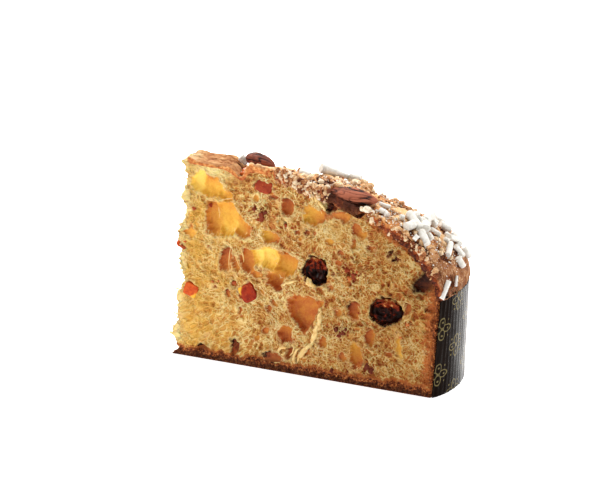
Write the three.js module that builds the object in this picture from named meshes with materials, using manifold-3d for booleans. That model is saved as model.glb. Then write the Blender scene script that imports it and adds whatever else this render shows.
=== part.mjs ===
// Slice of colomba cake: a wedge cut from one domed lobe of the loaf. The cut face
// is full of air holes and candied fruit, two almonds lie on the crust, and a band of
// fluted baking paper stays round the outer rim. Millimetres, +Z up.
//
// The slice is laid out from the tip of the wedge: x runs along the front cut face
// towards the paper, y goes back into the slice, z is the height above the flat
// underside. The finished group is then shifted so that its origin lies on the
// underside, near the middle of the slice.

import * as THREE from 'three';
import { mergeVertices } from 'three/addons/utils/BufferGeometryUtils.js';
import Module from 'manifold-3d';

const wasm = await Module();
wasm.setup();

// Driving dimensions

const ORIGIN_X = 90;
const ORIGIN_Y = 20;

const RIM_CENTRE_X = 97.4;
const RIM_CENTRE_Y = 21;
const RIM_RADIUS = 50;
const WEDGE_ANGLE = THREE.MathUtils.degToRad(18.6);

const TIP_THICKNESS = 7;
const TIP_FOOT = 2;
const TIP_LEAN = 0.085;
const TIP_TEARS = [
  { size: 1.5, wave: 2.9, start: 0.6 },
  { size: 0.9, wave: 6.7, start: 2.1 },
];
const TIP_SKEW = 0.75;
const TOE_LENGTH = 4;
const TOE_HEIGHT = 4;

const PAPER_HEIGHT = 50;
const PAPER_THICKNESS = 0.4;
const PAPER_FLARE = 1.3;
const CORNER_FLARE = 1.8;
const CORNER_SPREAD = THREE.MathUtils.degToRad(12);
const FLUTE_PITCH = 3;
const FLUTE_DEPTH = 0.6;
const FLUTE_STEPS = 5;
const PAPER_ROWS = 2;

const CREST_HEIGHT = 102.5;
const DOME_POWER = 2.5;
const RIM_FADE = 6;
const NOTCH = { x: 39.6, slant: -0.25, spread: 3.2, depth: 5 };
const FRONT_LIP = { x: 62, spread: 15, height: 2.4 };
const REAR_FALL_POWER = 1.5;
const REAR_FALLS = [
  { radius: 82, spread: 28, drop: 6.5 },
  { radius: 15, spread: 18, drop: -2.2 },
  { radius: 126, spread: 20, drop: 3.5 },
];
const SWELL = { height: 0.5, waveX: 7, startX: 1.2, waveY: 8, startY: 0.4 };
const SLAB = { x: 86, y: 18, halfLength: 11, halfDepth: 13, height: 3.2, edge: 3 };
const LIP_START = 50.5;
const LIP_END = 55;
const LIP_OVERHANG = 0.4;

const PEEL_ROUNDNESS = 3.4;
const KNIFE_SIZE = 40;
const GAP = 0.3;

const WRINKLE = 0.06;
const ALMOND_TAPER = 0.28;
const ALMOND_STEPS = 10;
const ALMOND_SIDES = 14;

const STEPS_ALONG = 40;
const STEPS_ACROSS = 7;
const STEPS_UP = 15;
const RIM_CROWDING = 1.5;

// Frames of the two cut faces: x along the cut, y into the crumb. In the rear cut x
// grows towards the tip, so a place beyond the tip of the wedge counts from there.
const FRONT = new THREE.Matrix4();
const REAR = new THREE.Matrix4().makeRotationZ(Math.PI + WEDGE_ANGLE).setPosition(0, TIP_THICKNESS, 0);

// Candied fruit in the cut faces: x and z on the face, y to its middle, half sizes
// along x, y and z, and the turn in the face in degrees.
const CHERRIES = [
  { name: 'cherry_left', face: FRONT, place: [80.9, 2.2, 53.7], radii: [6.6, 5.4, 8.0], turn: -12 },
  { name: 'cherry_right', face: FRONT, place: [117.7, 2.2, 39.4], radii: [8.8, 5.6, 7.0], turn: 8 },
  { name: 'cherry_rear', face: REAR, place: [-64, 2.2, 46], radii: [7.4, 5.4, 6.6], turn: 20 },
];
const PEELS = [
  { name: 'orange_peel_top', face: FRONT, place: [53.0, 1.4, 93.2], radii: [5.8, 3.0, 2.6], turn: -24 },
  { name: 'orange_peel_middle', face: FRONT, place: [43.7, 1.8, 38.2], radii: [4.8, 3.4, 5.4], turn: 30 },
  { name: 'orange_peel_left', face: FRONT, place: [11.4, 1.4, 35.3], radii: [4.4, 2.6, 3.9], turn: -20 },
  { name: 'orange_peel_tip', face: FRONT, place: [6.6, 2.9, 58.6], radii: [3.8, 2.2, 1.9], turn: 8 },
  { name: 'orange_peel_rear', face: REAR, place: [-108, 1.8, 66], radii: [5.4, 3.2, 3.6], turn: -30 },
];

// The largest air holes of the two cuts: middle on the face, half width, half
// height, depth, and the turn in the face in degrees.
const AIR_HOLES = [
  { face: FRONT, x: 22.0, z: 88.0, halfWidth: 9.0, halfHeight: 5.0, depth: 2.6, turn: -14 },
  { face: FRONT, x: 33.0, z: 75.5, halfWidth: 9.5, halfHeight: 8.0, depth: 4.4, turn: -6 },
  { face: FRONT, x: 59.5, z: 56.0, halfWidth: 11.5, halfHeight: 9.0, depth: 6.0, turn: -38 },
  { face: FRONT, x: 37.0, z: 56.5, halfWidth: 4.5, halfHeight: 7.0, depth: 4.0, turn: 8 },
  { face: FRONT, x: 66.0, z: 84.0, halfWidth: 4.0, halfHeight: 4.6, depth: 4.0, turn: 0 },
  { face: FRONT, x: 79.5, z: 82.5, halfWidth: 6.0, halfHeight: 3.8, depth: 3.6, turn: -26 },
  { face: FRONT, x: 74.0, z: 35.0, halfWidth: 7.0, halfHeight: 8.0, depth: 6.0, turn: 10 },
  { face: FRONT, x: 65.0, z: 23.5, halfWidth: 4.4, halfHeight: 4.2, depth: 4.4, turn: 0 },
  { face: FRONT, x: 101.5, z: 14.0, halfWidth: 3.6, halfHeight: 6.6, depth: 4.6, turn: 6 },
  { face: FRONT, x: 106.0, z: 34.5, halfWidth: 3.6, halfHeight: 4.6, depth: 4.0, turn: 0 },
  { face: REAR, x: -52.0, z: 74.0, halfWidth: 9.0, halfHeight: 7.0, depth: 4.5, turn: 18 },
  { face: REAR, x: -92.0, z: 40.0, halfWidth: 7.0, halfHeight: 9.0, depth: 5.5, turn: -12 },
];

// Almonds: place of the middle, half sizes along, across and through the nut, turn
// seen from above, and lengthwise tilt in degrees.
const ALMONDS = [
  { name: 'almond_edge', place: [98.0, 6.2, 92.2], radii: [12.8, 6.6, 4.2], yaw: -3, pitch: 5 },
  { name: 'almond_notch', place: [45.0, 13.0, 102.2], radii: [8.8, 5.4, 3.7], yaw: -14, pitch: 10 },
];

// Materials

function finish(color, roughness) {
  return new THREE.MeshStandardMaterial({ color, roughness, metalness: 0 });
}

const CRUMB_FINISH = finish(0xe2b666, 0.85);
const PAPER_FINISH = finish(0x2a211e, 0.45);
const ALMOND_FINISH = finish(0x8a4a34, 0.55);
const CHERRY_FINISH = finish(0x2a0c08, 0.2);
const PEEL_FINISH = finish(0xb8501c, 0.35);

// Solids: closed geometry joined and cut as one body

function closed(geometry) {
  const bare = geometry.clone();
  bare.deleteAttribute('normal');
  bare.deleteAttribute('uv');
  return mergeVertices(bare, 1e-4);
}

function toSolid(geometry) {
  const body = closed(geometry);
  const vertProperties = new Float32Array(body.attributes.position.array);
  const triVerts = new Uint32Array(body.index.array);
  return new wasm.Manifold(new wasm.Mesh({ numProp: 3, vertProperties, triVerts }));
}

function fromSolid(solid) {
  const mesh = solid.getMesh();
  const geometry = new THREE.BufferGeometry();
  geometry.setAttribute('position', new THREE.BufferAttribute(mesh.vertProperties, 3));
  geometry.setIndex(new THREE.BufferAttribute(mesh.triVerts, 1));
  return geometry;
}

function cutAway(geometry, tools) {
  let solid = toSolid(geometry);
  for (const tool of tools) {
    solid = solid.subtract(toSolid(tool));
  }
  return fromSolid(solid);
}

// Moves every vertex of a geometry to the point that shape(vertex) gives.
function reshape(geometry, shape) {
  const position = geometry.attributes.position;
  const vertex = new THREE.Vector3();
  for (let i = 0; i < position.count; i += 1) {
    vertex.fromBufferAttribute(position, i);
    const moved = shape(vertex);
    position.setXYZ(i, moved.x, moved.y, moved.z);
  }
  return geometry;
}

// Outline of the slice

// Distance of the rear cut from the middle of the rim.
const REAR_OFFSET = TIP_THICKNESS * Math.cos(WEDGE_ANGLE)
  + RIM_CENTRE_X * Math.sin(WEDGE_ANGLE) - RIM_CENTRE_Y * Math.cos(WEDGE_ANGLE);

// Point of the rim at a share of the way from the front cut to the rear cut. The
// arc of each height ends exactly on the planes of the two cuts.
function rimPoint(across, z, inset) {
  const lean = Math.min(z / PAPER_HEIGHT, 1);
  const frontRadius = RIM_RADIUS + lean * (PAPER_FLARE + CORNER_FLARE) - inset;
  const rearRadius = RIM_RADIUS + lean * PAPER_FLARE - inset;
  const frontAngle = -Math.asin(RIM_CENTRE_Y / frontRadius);
  const rearAngle = WEDGE_ANGLE + Math.asin(REAR_OFFSET / rearRadius);
  const angle = frontAngle + across * (rearAngle - frontAngle);
  const corner = Math.exp(-((across * (rearAngle - frontAngle) / CORNER_SPREAD) ** 2));
  const radius = rearRadius + (frontRadius - rearRadius) * corner;
  return new THREE.Vector2(
    RIM_CENTRE_X + radius * Math.cos(angle),
    RIM_CENTRE_Y + radius * Math.sin(angle),
  );
}

// Torn edge at the thin end: it leans, wanders in and out, and ends in a small toe.
// It slides along the planes of the two cuts.
function tipPoint(across, z) {
  const toe = TOE_LENGTH * Math.max(0, 1 - z / TOE_HEIGHT);
  let x = TIP_FOOT + TIP_LEAN * z + TIP_SKEW * across - toe;
  for (const { size, wave, start } of TIP_TEARS) {
    x += size * Math.sin(z / wave + start);
  }
  return new THREE.Vector2(x, across * (TIP_THICKNESS + x * Math.tan(WEDGE_ANGLE)));
}

// Point of the slice in plan. The rim stays inside the paper up to its mouth, and
// the crust swells out over it above.
function planPoint(along, across, z) {
  const swell = THREE.MathUtils.smoothstep(z, LIP_START, LIP_END);
  const inset = (FLUTE_DEPTH + PAPER_THICKNESS + GAP) * (1 - swell) - LIP_OVERHANG * swell;
  return tipPoint(across, z).lerp(rimPoint(across, z, inset), along);
}

// Top of the crust

function bell(distance, spread) {
  return Math.exp(-((distance / spread) ** 2));
}

function softStep(distance, edge) {
  return 1 / (1 + Math.exp(-distance / (edge / 4)));
}

function slabHeight(x, y) {
  const within = softStep(SLAB.halfLength - Math.abs(x - SLAB.x), SLAB.edge);
  const deep = softStep(SLAB.halfDepth - Math.abs(y - SLAB.y), SLAB.edge);
  return SLAB.height * within * deep;
}

// Height of the crust: a dome from crest to rim, a little higher along the front
// edge, lower towards the rear cut, with one deep notch.
function topHeight(x, y, across) {
  const rim = rimPoint(across, PAPER_HEIGHT, 0);
  const reach = Math.min(1, Math.hypot(x, y) / rim.length());
  const radius = reach * rim.length();
  const dome = (CREST_HEIGHT - PAPER_HEIGHT) * Math.sqrt(1 - reach ** DOME_POWER);
  let relief = slabHeight(x, y);
  relief += FRONT_LIP.height * bell(x - FRONT_LIP.x, FRONT_LIP.spread) * (1 - across);
  relief -= NOTCH.depth * bell(x - NOTCH.x - NOTCH.slant * y, NOTCH.spread);
  const swellX = Math.sin(x / SWELL.waveX + SWELL.startX);
  relief += SWELL.height * swellX * Math.cos(y / SWELL.waveY + SWELL.startY);
  for (const fall of REAR_FALLS) {
    relief -= fall.drop * bell(radius - fall.radius, fall.spread) * across ** REAR_FALL_POWER;
  }
  return PAPER_HEIGHT + dome + relief * Math.min(1, RIM_FADE * (1 - reach));
}

// Pieces

// Body of the slice before the holes are cut: a block whose six sides become the
// underside, crust, two cut faces, torn tip and rim.
function sliceBody() {
  const block = new THREE.BoxGeometry(1, 1, 1, STEPS_ALONG, STEPS_ACROSS, STEPS_UP);
  return reshape(block, (vertex) => {
    const along = 1 - (0.5 - vertex.x) ** RIM_CROWDING;
    const across = vertex.y + 0.5;
    const up = vertex.z + 0.5;
    const crown = planPoint(along, across, CREST_HEIGHT);
    const z = up * topHeight(crown.x, crown.y, across);
    const plan = planPoint(along, across, z);
    return new THREE.Vector3(plan.x, plan.y, z);
  });
}

// Open dent in a cut face with the shape of a flattened ball.
function airHole({ face, x, z, halfWidth, halfHeight, depth, turn }) {
  const hollow = new THREE.IcosahedronGeometry(1, 2);
  hollow.scale(halfWidth, depth, halfHeight);
  hollow.rotateY(THREE.MathUtils.degToRad(-turn));
  hollow.translate(x, 0, z);
  return hollow.applyMatrix4(face);
}

// Soft lump of candied cherry with a wrinkled skin.
function cherryShape() {
  return reshape(new THREE.IcosahedronGeometry(1, 2), (vertex) => {
    const wrinkle = WRINKLE * Math.sin(5 * vertex.x + 3 * vertex.z) * Math.cos(4 * vertex.y);
    return vertex.clone().multiplyScalar(1 + wrinkle);
  });
}

// Diced piece of orange peel: a block with rounded edges.
function peelShape() {
  return reshape(new THREE.BoxGeometry(2, 2, 2, 3, 3, 3), (vertex) => {
    const powers = vertex.toArray().map((side) => Math.abs(side) ** PEEL_ROUNDNESS);
    const norm = powers[0] + powers[1] + powers[2];
    return vertex.clone().multiplyScalar(norm ** (-1 / PEEL_ROUNDNESS));
  });
}

// Sizes a fruit's shape of unit radius and sets it in the frame of its cut face.
function setFruit(shape, { place, radii, turn }, grow) {
  shape.scale(radii[0] + grow, radii[1] + grow, radii[2] + grow);
  shape.rotateY(THREE.MathUtils.degToRad(-turn));
  return shape.translate(...place);
}

// Fruit as it was before the cut, a little larger all round: the hollow it lies in.
function fruitPocket(shape, fruit) {
  return setFruit(shape, fruit, GAP).applyMatrix4(fruit.face);
}

// Fruit sliced off by the knife just ahead of the cut face.
function cutFruit(shape, fruit) {
  const knife = new THREE.BoxGeometry(KNIFE_SIZE, KNIFE_SIZE, KNIFE_SIZE);
  knife.translate(fruit.place[0], -GAP - KNIFE_SIZE / 2, fruit.place[2]);
  return cutAway(setFruit(shape, fruit, 0), [knife]).applyMatrix4(fruit.face);
}

// Whole almond: round in section, blunt at one end and pointed at the other.
function almondBody({ place, radii, yaw, pitch }, grow) {
  const profile = [new THREE.Vector2(0, -1)];
  for (let i = 1; i < ALMOND_STEPS; i += 1) {
    const angle = (Math.PI * i) / ALMOND_STEPS;
    const taper = 1 - ALMOND_TAPER * Math.sin(angle / 2) ** 4;
    profile.push(new THREE.Vector2(Math.sin(angle) * taper, -Math.cos(angle)));
  }
  profile.push(new THREE.Vector2(0, 1));
  const nut = new THREE.LatheGeometry(profile, ALMOND_SIDES);
  nut.rotateZ(-Math.PI / 2);
  nut.scale(radii[0] + grow, radii[1] + grow, radii[2] + grow);
  nut.rotateY(THREE.MathUtils.degToRad(pitch));
  nut.rotateZ(THREE.MathUtils.degToRad(yaw));
  nut.translate(...place);
  return nut;
}

// Fluted band of paper: a thin wall that follows the rim, in and out with each flute.
function paperBody() {
  const arc = WEDGE_ANGLE + Math.asin(REAR_OFFSET / RIM_RADIUS) + Math.asin(RIM_CENTRE_Y / RIM_RADIUS);
  const flutes = Math.round((arc * RIM_RADIUS) / FLUTE_PITCH);
  const wall = new THREE.BoxGeometry(1, 1, 1, 1, flutes * FLUTE_STEPS, PAPER_ROWS);
  return reshape(wall, (vertex) => {
    const across = vertex.y + 0.5;
    const z = (vertex.z + 0.5) * PAPER_HEIGHT;
    const groove = (FLUTE_DEPTH / 2) * (1 - Math.cos(2 * Math.PI * flutes * across));
    const inset = groove + PAPER_THICKNESS * (0.5 - vertex.x);
    const plan = rimPoint(across, z, inset);
    return new THREE.Vector3(plan.x, plan.y, z);
  });
}

function piece(name, geometry, material) {
  const mesh = new THREE.Mesh(geometry, material);
  mesh.name = name;
  return mesh;
}

// Assembly

const hollows = [
  ...AIR_HOLES.map(airHole),
  ...CHERRIES.map((cherry) => fruitPocket(cherryShape(), cherry)),
  ...PEELS.map((peel) => fruitPocket(peelShape(), peel)),
  ...ALMONDS.map((almond) => almondBody(almond, GAP)),
];

const group = new THREE.Group();
group.add(piece('crumb', cutAway(sliceBody(), hollows), CRUMB_FINISH.clone()));
group.add(piece('paper_band', closed(paperBody()), PAPER_FINISH.clone()));
for (const cherry of CHERRIES) {
  group.add(piece(cherry.name, cutFruit(cherryShape(), cherry), CHERRY_FINISH.clone()));
}
for (const peel of PEELS) {
  group.add(piece(peel.name, cutFruit(peelShape(), peel), PEEL_FINISH.clone()));
}
for (const almond of ALMONDS) {
  group.add(piece(almond.name, closed(almondBody(almond, 0)), ALMOND_FINISH.clone()));
}
group.position.set(-ORIGIN_X, -ORIGIN_Y, 0);
group.updateMatrixWorld(true);

export default group;
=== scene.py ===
"""A slice of colomba cake: foamy yellow crumb with candied fruit, an almond glaze with sugar, and a
fluted paper band round the rim.

Shapes are worked out in millimetres in the slice's own wedge coordinates: x runs along the front cut
from the thin tip, y goes into the slice and z up. Wedge.place turns them into the frame's metres.
"""

import logging
import math
from dataclasses import dataclass, field
from enum import IntEnum
from itertools import product

import bpy
import numpy as np
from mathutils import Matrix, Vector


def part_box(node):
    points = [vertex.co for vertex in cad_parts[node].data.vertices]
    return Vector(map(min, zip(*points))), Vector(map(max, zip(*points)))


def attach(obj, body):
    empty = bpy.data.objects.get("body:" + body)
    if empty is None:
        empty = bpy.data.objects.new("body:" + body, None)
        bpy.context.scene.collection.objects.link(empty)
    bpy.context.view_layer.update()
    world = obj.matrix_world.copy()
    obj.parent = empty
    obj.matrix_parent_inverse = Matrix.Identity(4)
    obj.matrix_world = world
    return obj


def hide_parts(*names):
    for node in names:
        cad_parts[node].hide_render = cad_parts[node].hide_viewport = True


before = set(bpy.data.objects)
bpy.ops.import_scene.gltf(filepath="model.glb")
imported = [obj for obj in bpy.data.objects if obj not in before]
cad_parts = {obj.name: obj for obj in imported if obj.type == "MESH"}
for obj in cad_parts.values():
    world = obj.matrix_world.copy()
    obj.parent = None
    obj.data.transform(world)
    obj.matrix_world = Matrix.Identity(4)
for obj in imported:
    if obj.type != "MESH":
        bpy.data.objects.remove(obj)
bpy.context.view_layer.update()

LOG = logging.getLogger("colomba")
BODY = "root"
METRE = 0.001
Colour = tuple[float, float, float, float]
Array = np.ndarray


def srgb(red: int, green: int, blue: int) -> Colour:
    """Turn a screen colour into the linear colour that shaders use.

    Args:
        red: Red from 0 to 255.
        green: Green from 0 to 255.
        blue: Blue from 0 to 255.

    Returns:
        The linear colour with alpha 1.
    """
    channels = np.array([red, green, blue]) / 255.0
    linear = np.where(channels <= 0.04045, channels / 12.92, ((channels + 0.055) / 1.055) ** 2.4)
    return (float(linear[0]), float(linear[1]), float(linear[2]), 1.0)


# ---------------------------------------------------------------- numbers


def rows_of(kind: type, rows: tuple[tuple, ...]) -> tuple:
    """Make one object of a kind from each row of a table."""
    return tuple(kind(*row) for row in rows)


def smoothstep(value: Array, start: float, end: float) -> Array:
    """Rise smoothly from 0 at start to 1 at end, as 3t^2 - 2t^3."""
    t = np.clip((value - start) / (end - start), 0.0, 1.0)
    return t * t * (3.0 - 2.0 * t)


def bell(distance: Array, spread: float) -> Array:
    """Give a bell curve, exp(-(distance / spread)^2)."""
    return np.exp(-((distance / spread) ** 2))


def scramble(lattice: Array, seed: int) -> Array:
    """Give each lattice corner a fixed random number.

    The three whole coordinates are multiplied by large odd numbers, joined and mixed bitwise.

    Args:
        lattice: Whole coordinates, shape (..., 3).
        seed: Chooses the pattern.

    Returns:
        Numbers from 0 to 1, shape (...).
    """
    whole = lattice.astype(np.int64)
    mixed = whole[..., 0] * 73856093 ^ whole[..., 1] * 19349663 ^ whole[..., 2] * 83492791
    mixed = (mixed ^ (seed * 2654435761)) & 0xFFFFFFFF
    mixed = (mixed ^ (mixed >> 16)) * 0x45D9F3B & 0xFFFFFFFF
    mixed = (mixed ^ (mixed >> 15)) * 0x2C1B3C6D & 0xFFFFFFFF
    return ((mixed ^ (mixed >> 13)) & 0xFFFFFF) / float(0xFFFFFF)


def noise(points: Array, size: float, seed: int) -> Array:
    """Smooth noise: the eight lattice corners round a point, blended by smoothstep weights.

    Args:
        points: Points in mm, shape (..., 3).
        size: Size of one bump in mm.
        seed: Chooses the pattern.

    Returns:
        Values from -1 to 1, shape (...).
    """
    scaled = points / size
    base = np.floor(scaled)
    part = scaled - base
    part = part * part * (3.0 - 2.0 * part)
    total = np.zeros(points.shape[:-1])
    for corner in product((0, 1), repeat=3):
        weight = np.prod(np.where(np.array(corner), part, 1.0 - part), axis=-1)
        total += weight * scramble(base + np.array(corner), seed)
    return 2.0 * total - 1.0


def layered_noise(points: Array, size: float, seed: int, layers: int = 3) -> Array:
    """Add noise layers, each half the size and 0.55 times the height of the one before."""
    heights = [0.55 ** layer for layer in range(layers)]
    parts = [h * noise(points, size / 2 ** i, seed + i) for i, h in enumerate(heights)]
    return sum(parts) / sum(heights)


def shifts(points: Array, size: float, seed: int) -> Array:
    """Three noises as a vector for each point."""
    return np.stack([noise(points, size, seed + axis) for axis in range(3)], axis=-1)


def plateau(value: Array, start: float, full: float, fall: float, end: float) -> Array:
    """Rise smoothly from start to full, and go back to 0 from fall to end."""
    return smoothstep(value, start, full) * (1.0 - smoothstep(value, fall, end))


@dataclass
class Cells:
    """Distances to the nearest and second nearest of one jittered seed per lattice cube."""

    nearest: Array
    second: Array
    chance: Array

    @classmethod
    def grow(cls, points: Array, size: float, seed: int) -> "Cells":
        """Find for each point the two nearest seeds in the 27 cubes round it.

        Args:
            points: Points in mm, shape (..., 3).
            size: Edge of a lattice cube in mm.
            seed: Chooses the pattern.

        Returns:
            The distances in cube edges, and the random number of the nearest seed.
        """
        scaled = points / size
        base = np.floor(scaled)
        nearest = np.full(points.shape[:-1], np.inf)
        second = nearest.copy()
        chance = np.zeros(points.shape[:-1])
        for offset in product((-1, 0, 1), repeat=3):
            corner = base + np.array(offset)
            jitter = np.stack([scramble(corner, seed + axis) for axis in range(3)], axis=-1)
            gap = np.sqrt(((corner + jitter - scaled) ** 2).sum(axis=-1))
            closer = gap < nearest
            second = np.where(closer, nearest, np.minimum(second, gap))
            chance = np.where(closer, scramble(corner, seed + 3), chance)
            nearest = np.where(closer, gap, nearest)
        return cls(nearest, second, chance)

    @property
    def wall(self) -> Array:
        """Distance to the wall between two cells: second minus nearest, 0 on the wall."""
        return self.second - self.nearest


# ---------------------------------------------------------------- meshes


@dataclass
class Surface:
    """A mesh as whole arrays: points in mm, faces of four and three corners, and point values."""

    points: Array
    quads: Array = field(default_factory=lambda: np.zeros((0, 4), np.int64))
    triangles: Array = field(default_factory=lambda: np.zeros((0, 3), np.int64))
    values: dict[str, Array] = field(default_factory=dict)
    flat: Array | None = None

    def volume(self) -> float:
        """Signed volume: a sixth of the sum of each triangle's corner product."""
        halves = [self.quads[:, [0, 1, 2]], self.quads[:, [0, 2, 3]], self.triangles]
        a, b, c = np.moveaxis(self.points[np.concatenate(halves)], 1, 0)
        return float((a * np.cross(b, c)).sum() / 6.0)

    def outward(self) -> "Surface":
        """Turn every face round when the closed surface is inside out.

        Returns:
            This surface.
        """
        if self.volume() < 0.0:
            self.quads = self.quads[:, ::-1]
            self.triangles = self.triangles[:, ::-1]
        return self


def tube_quads(stations: int, ring: int) -> Array:
    """Faces between closed rings: corner j of ring i joins corner j + 1 and the next ring's two.

    Args:
        stations: Number of rings.
        ring: Points in each ring.

    Returns:
        The faces, shape (n, 4).
    """
    i = np.arange(stations - 1)[:, None] * ring
    j = np.arange(ring)[None, :]
    after = (j + 1) % ring
    return np.stack([i + j, i + after, i + ring + after, i + ring + j], axis=-1).reshape(-1, 4)


def zip_strip(points: Array, left: Array, right: Array) -> Array:
    """Triangles between two open lines of points that run side by side.

    Each line's steps are ordered by how far along the line their middles lie. A step on one line
    makes a triangle with the point that the other line has reached by then.

    Args:
        points: All points, shape (n, 3).
        left: Point numbers along one line.
        right: Point numbers along the other, in the same direction.

    Returns:
        The triangles, shape (steps, 3).
    """

    def middles(line: Array) -> Array:
        """Where the middle of each step lies, as a share of the line's length."""
        lengths = np.linalg.norm(np.diff(points[line], axis=0), axis=1) + 1e-9
        ends = np.cumsum(lengths) / lengths.sum()
        return ends - 0.5 * lengths / lengths.sum()

    left_mid, right_mid = middles(left), middles(right)
    reached_right = np.searchsorted(right_mid, left_mid, side="left")
    reached_left = np.searchsorted(left_mid, right_mid, side="right")
    from_left = np.stack([left[:-1], left[1:], right[reached_right]], axis=1)
    from_right = np.stack([left[reached_left], right[1:], right[:-1]], axis=1)
    return np.concatenate([from_left, from_right])


def ring_tube(rings: Array, split: int) -> tuple[Array, Array]:
    """Close a tube of rings: quads along it, and each end zipped shut between its two sides.

    Args:
        rings: Points, shape (stations, ring, 3).
        split: The ring point where the first side ends and the second begins.

    Returns:
        Quads and triangles.
    """
    stations, ring = rings.shape[:2]
    there = np.arange(0, split + 1)
    back = np.concatenate([[0], np.arange(ring - 1, split - 1, -1)])
    caps = [zip_strip(rings[0], there, back)[:, ::-1]]
    caps.append(zip_strip(rings[-1], there, back) + (stations - 1) * ring)
    triangles = np.concatenate(caps)
    a, b, c = triangles.T
    return tube_quads(stations, ring), triangles[(a != b) & (b != c) & (a != c)]


@dataclass(frozen=True)
class Globe:
    """A grid from pole to pole: u runs from 0 to 1 between the poles, v from 0 to 1 round them."""

    rows: int
    columns: int

    @property
    def u(self) -> Array:
        """Place of every point between the poles."""
        inner = np.arange(1, self.rows + 1) / (self.rows + 1)
        return np.concatenate([[0.0], np.repeat(inner, self.columns), [1.0]])

    @property
    def v(self) -> Array:
        """Place of every point round the axis."""
        turn = np.tile(np.arange(self.columns) / self.columns, self.rows)
        return np.concatenate([[0.0], turn, [0.0]])

    def directions(self) -> Array:
        """Unit vectors: the pole axis is x, by the sine and cosine of both angles."""
        polar, turn = math.pi * self.u, 2.0 * math.pi * self.v
        return np.stack([-np.cos(polar), np.sin(polar) * np.cos(turn), np.sin(polar) * np.sin(turn)], 1)

    def faces(self) -> tuple[Array, Array]:
        """Quads between the rows, and triangles round both poles.

        Returns:
            Quads and triangles.
        """
        quads = tube_quads(self.rows, self.columns) + 1
        j = np.arange(self.columns)
        after = (j + 1) % self.columns
        last = self.rows * self.columns + 1
        first_row, last_row = 1, 1 + (self.rows - 1) * self.columns
        low = np.stack([np.zeros_like(j), first_row + after, first_row + j], axis=1)
        high = np.stack([np.full_like(j, last), last_row + j, last_row + after], axis=1)
        return quads, np.concatenate([low, high])

    def surface(self, points: Array, **values: Array) -> Surface:
        """Make one closed surface from a point for each u and v."""
        quads, triangles = self.faces()
        return Surface(points, quads, triangles, dict(values)).outward()

    def scatter(self, clouds: Array, **values: Array) -> Surface:
        """Make many closed bodies in one surface.

        Args:
            clouds: Points of each body, shape (bodies, points, 3).
            values: One array per value, shape (bodies, points).

        Returns:
            The joined surface.
        """
        quads, triangles = self.faces()
        single = Surface(clouds[0], quads, triangles)
        if single.volume() < 0.0:
            quads, triangles = quads[:, ::-1], triangles[:, ::-1]
        offsets = (np.arange(len(clouds)) * clouds.shape[1])[:, None, None]
        flat_values = {name: value.reshape(-1) for name, value in values.items()}
        return Surface(
            clouds.reshape(-1, 3),
            (quads[None] + offsets).reshape(-1, 4),
            (triangles[None] + offsets).reshape(-1, 3),
            flat_values,
        )


def turned(points: Array, yaw: float, pitch: float) -> Array:
    """Turn points about y by pitch, then about z by yaw, in degrees.

    Args:
        points: Points, shape (n, 3).
        yaw: Turn about z.
        pitch: Turn about y.

    Returns:
        The turned points.
    """
    a, b = math.radians(yaw), math.radians(pitch)
    about_y = np.array([[math.cos(b), 0, math.sin(b)], [0, 1, 0], [-math.sin(b), 0, math.cos(b)]])
    about_z = np.array([[math.cos(a), -math.sin(a), 0], [math.sin(a), math.cos(a), 0], [0, 0, 1]])
    return points @ (about_z @ about_y).T


def frames_from(up: Array, heading: Array) -> Array:
    """Turn matrices that lay x along a heading, with z as near to an upward direction as it can be.

    Args:
        up: Rough directions of z, shape (n, 3).
        heading: Directions of x, shape (n, 3).

    Returns:
        Matrices, shape (n, 3, 3), whose columns are the three axes.
    """
    x = heading / np.linalg.norm(heading, axis=1, keepdims=True)
    z = up - (up * x).sum(axis=1, keepdims=True) * x
    z = z / np.linalg.norm(z, axis=1, keepdims=True)
    return np.stack([x, np.cross(z, x), z], axis=2)


# ---------------------------------------------------------------- slice form


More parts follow.
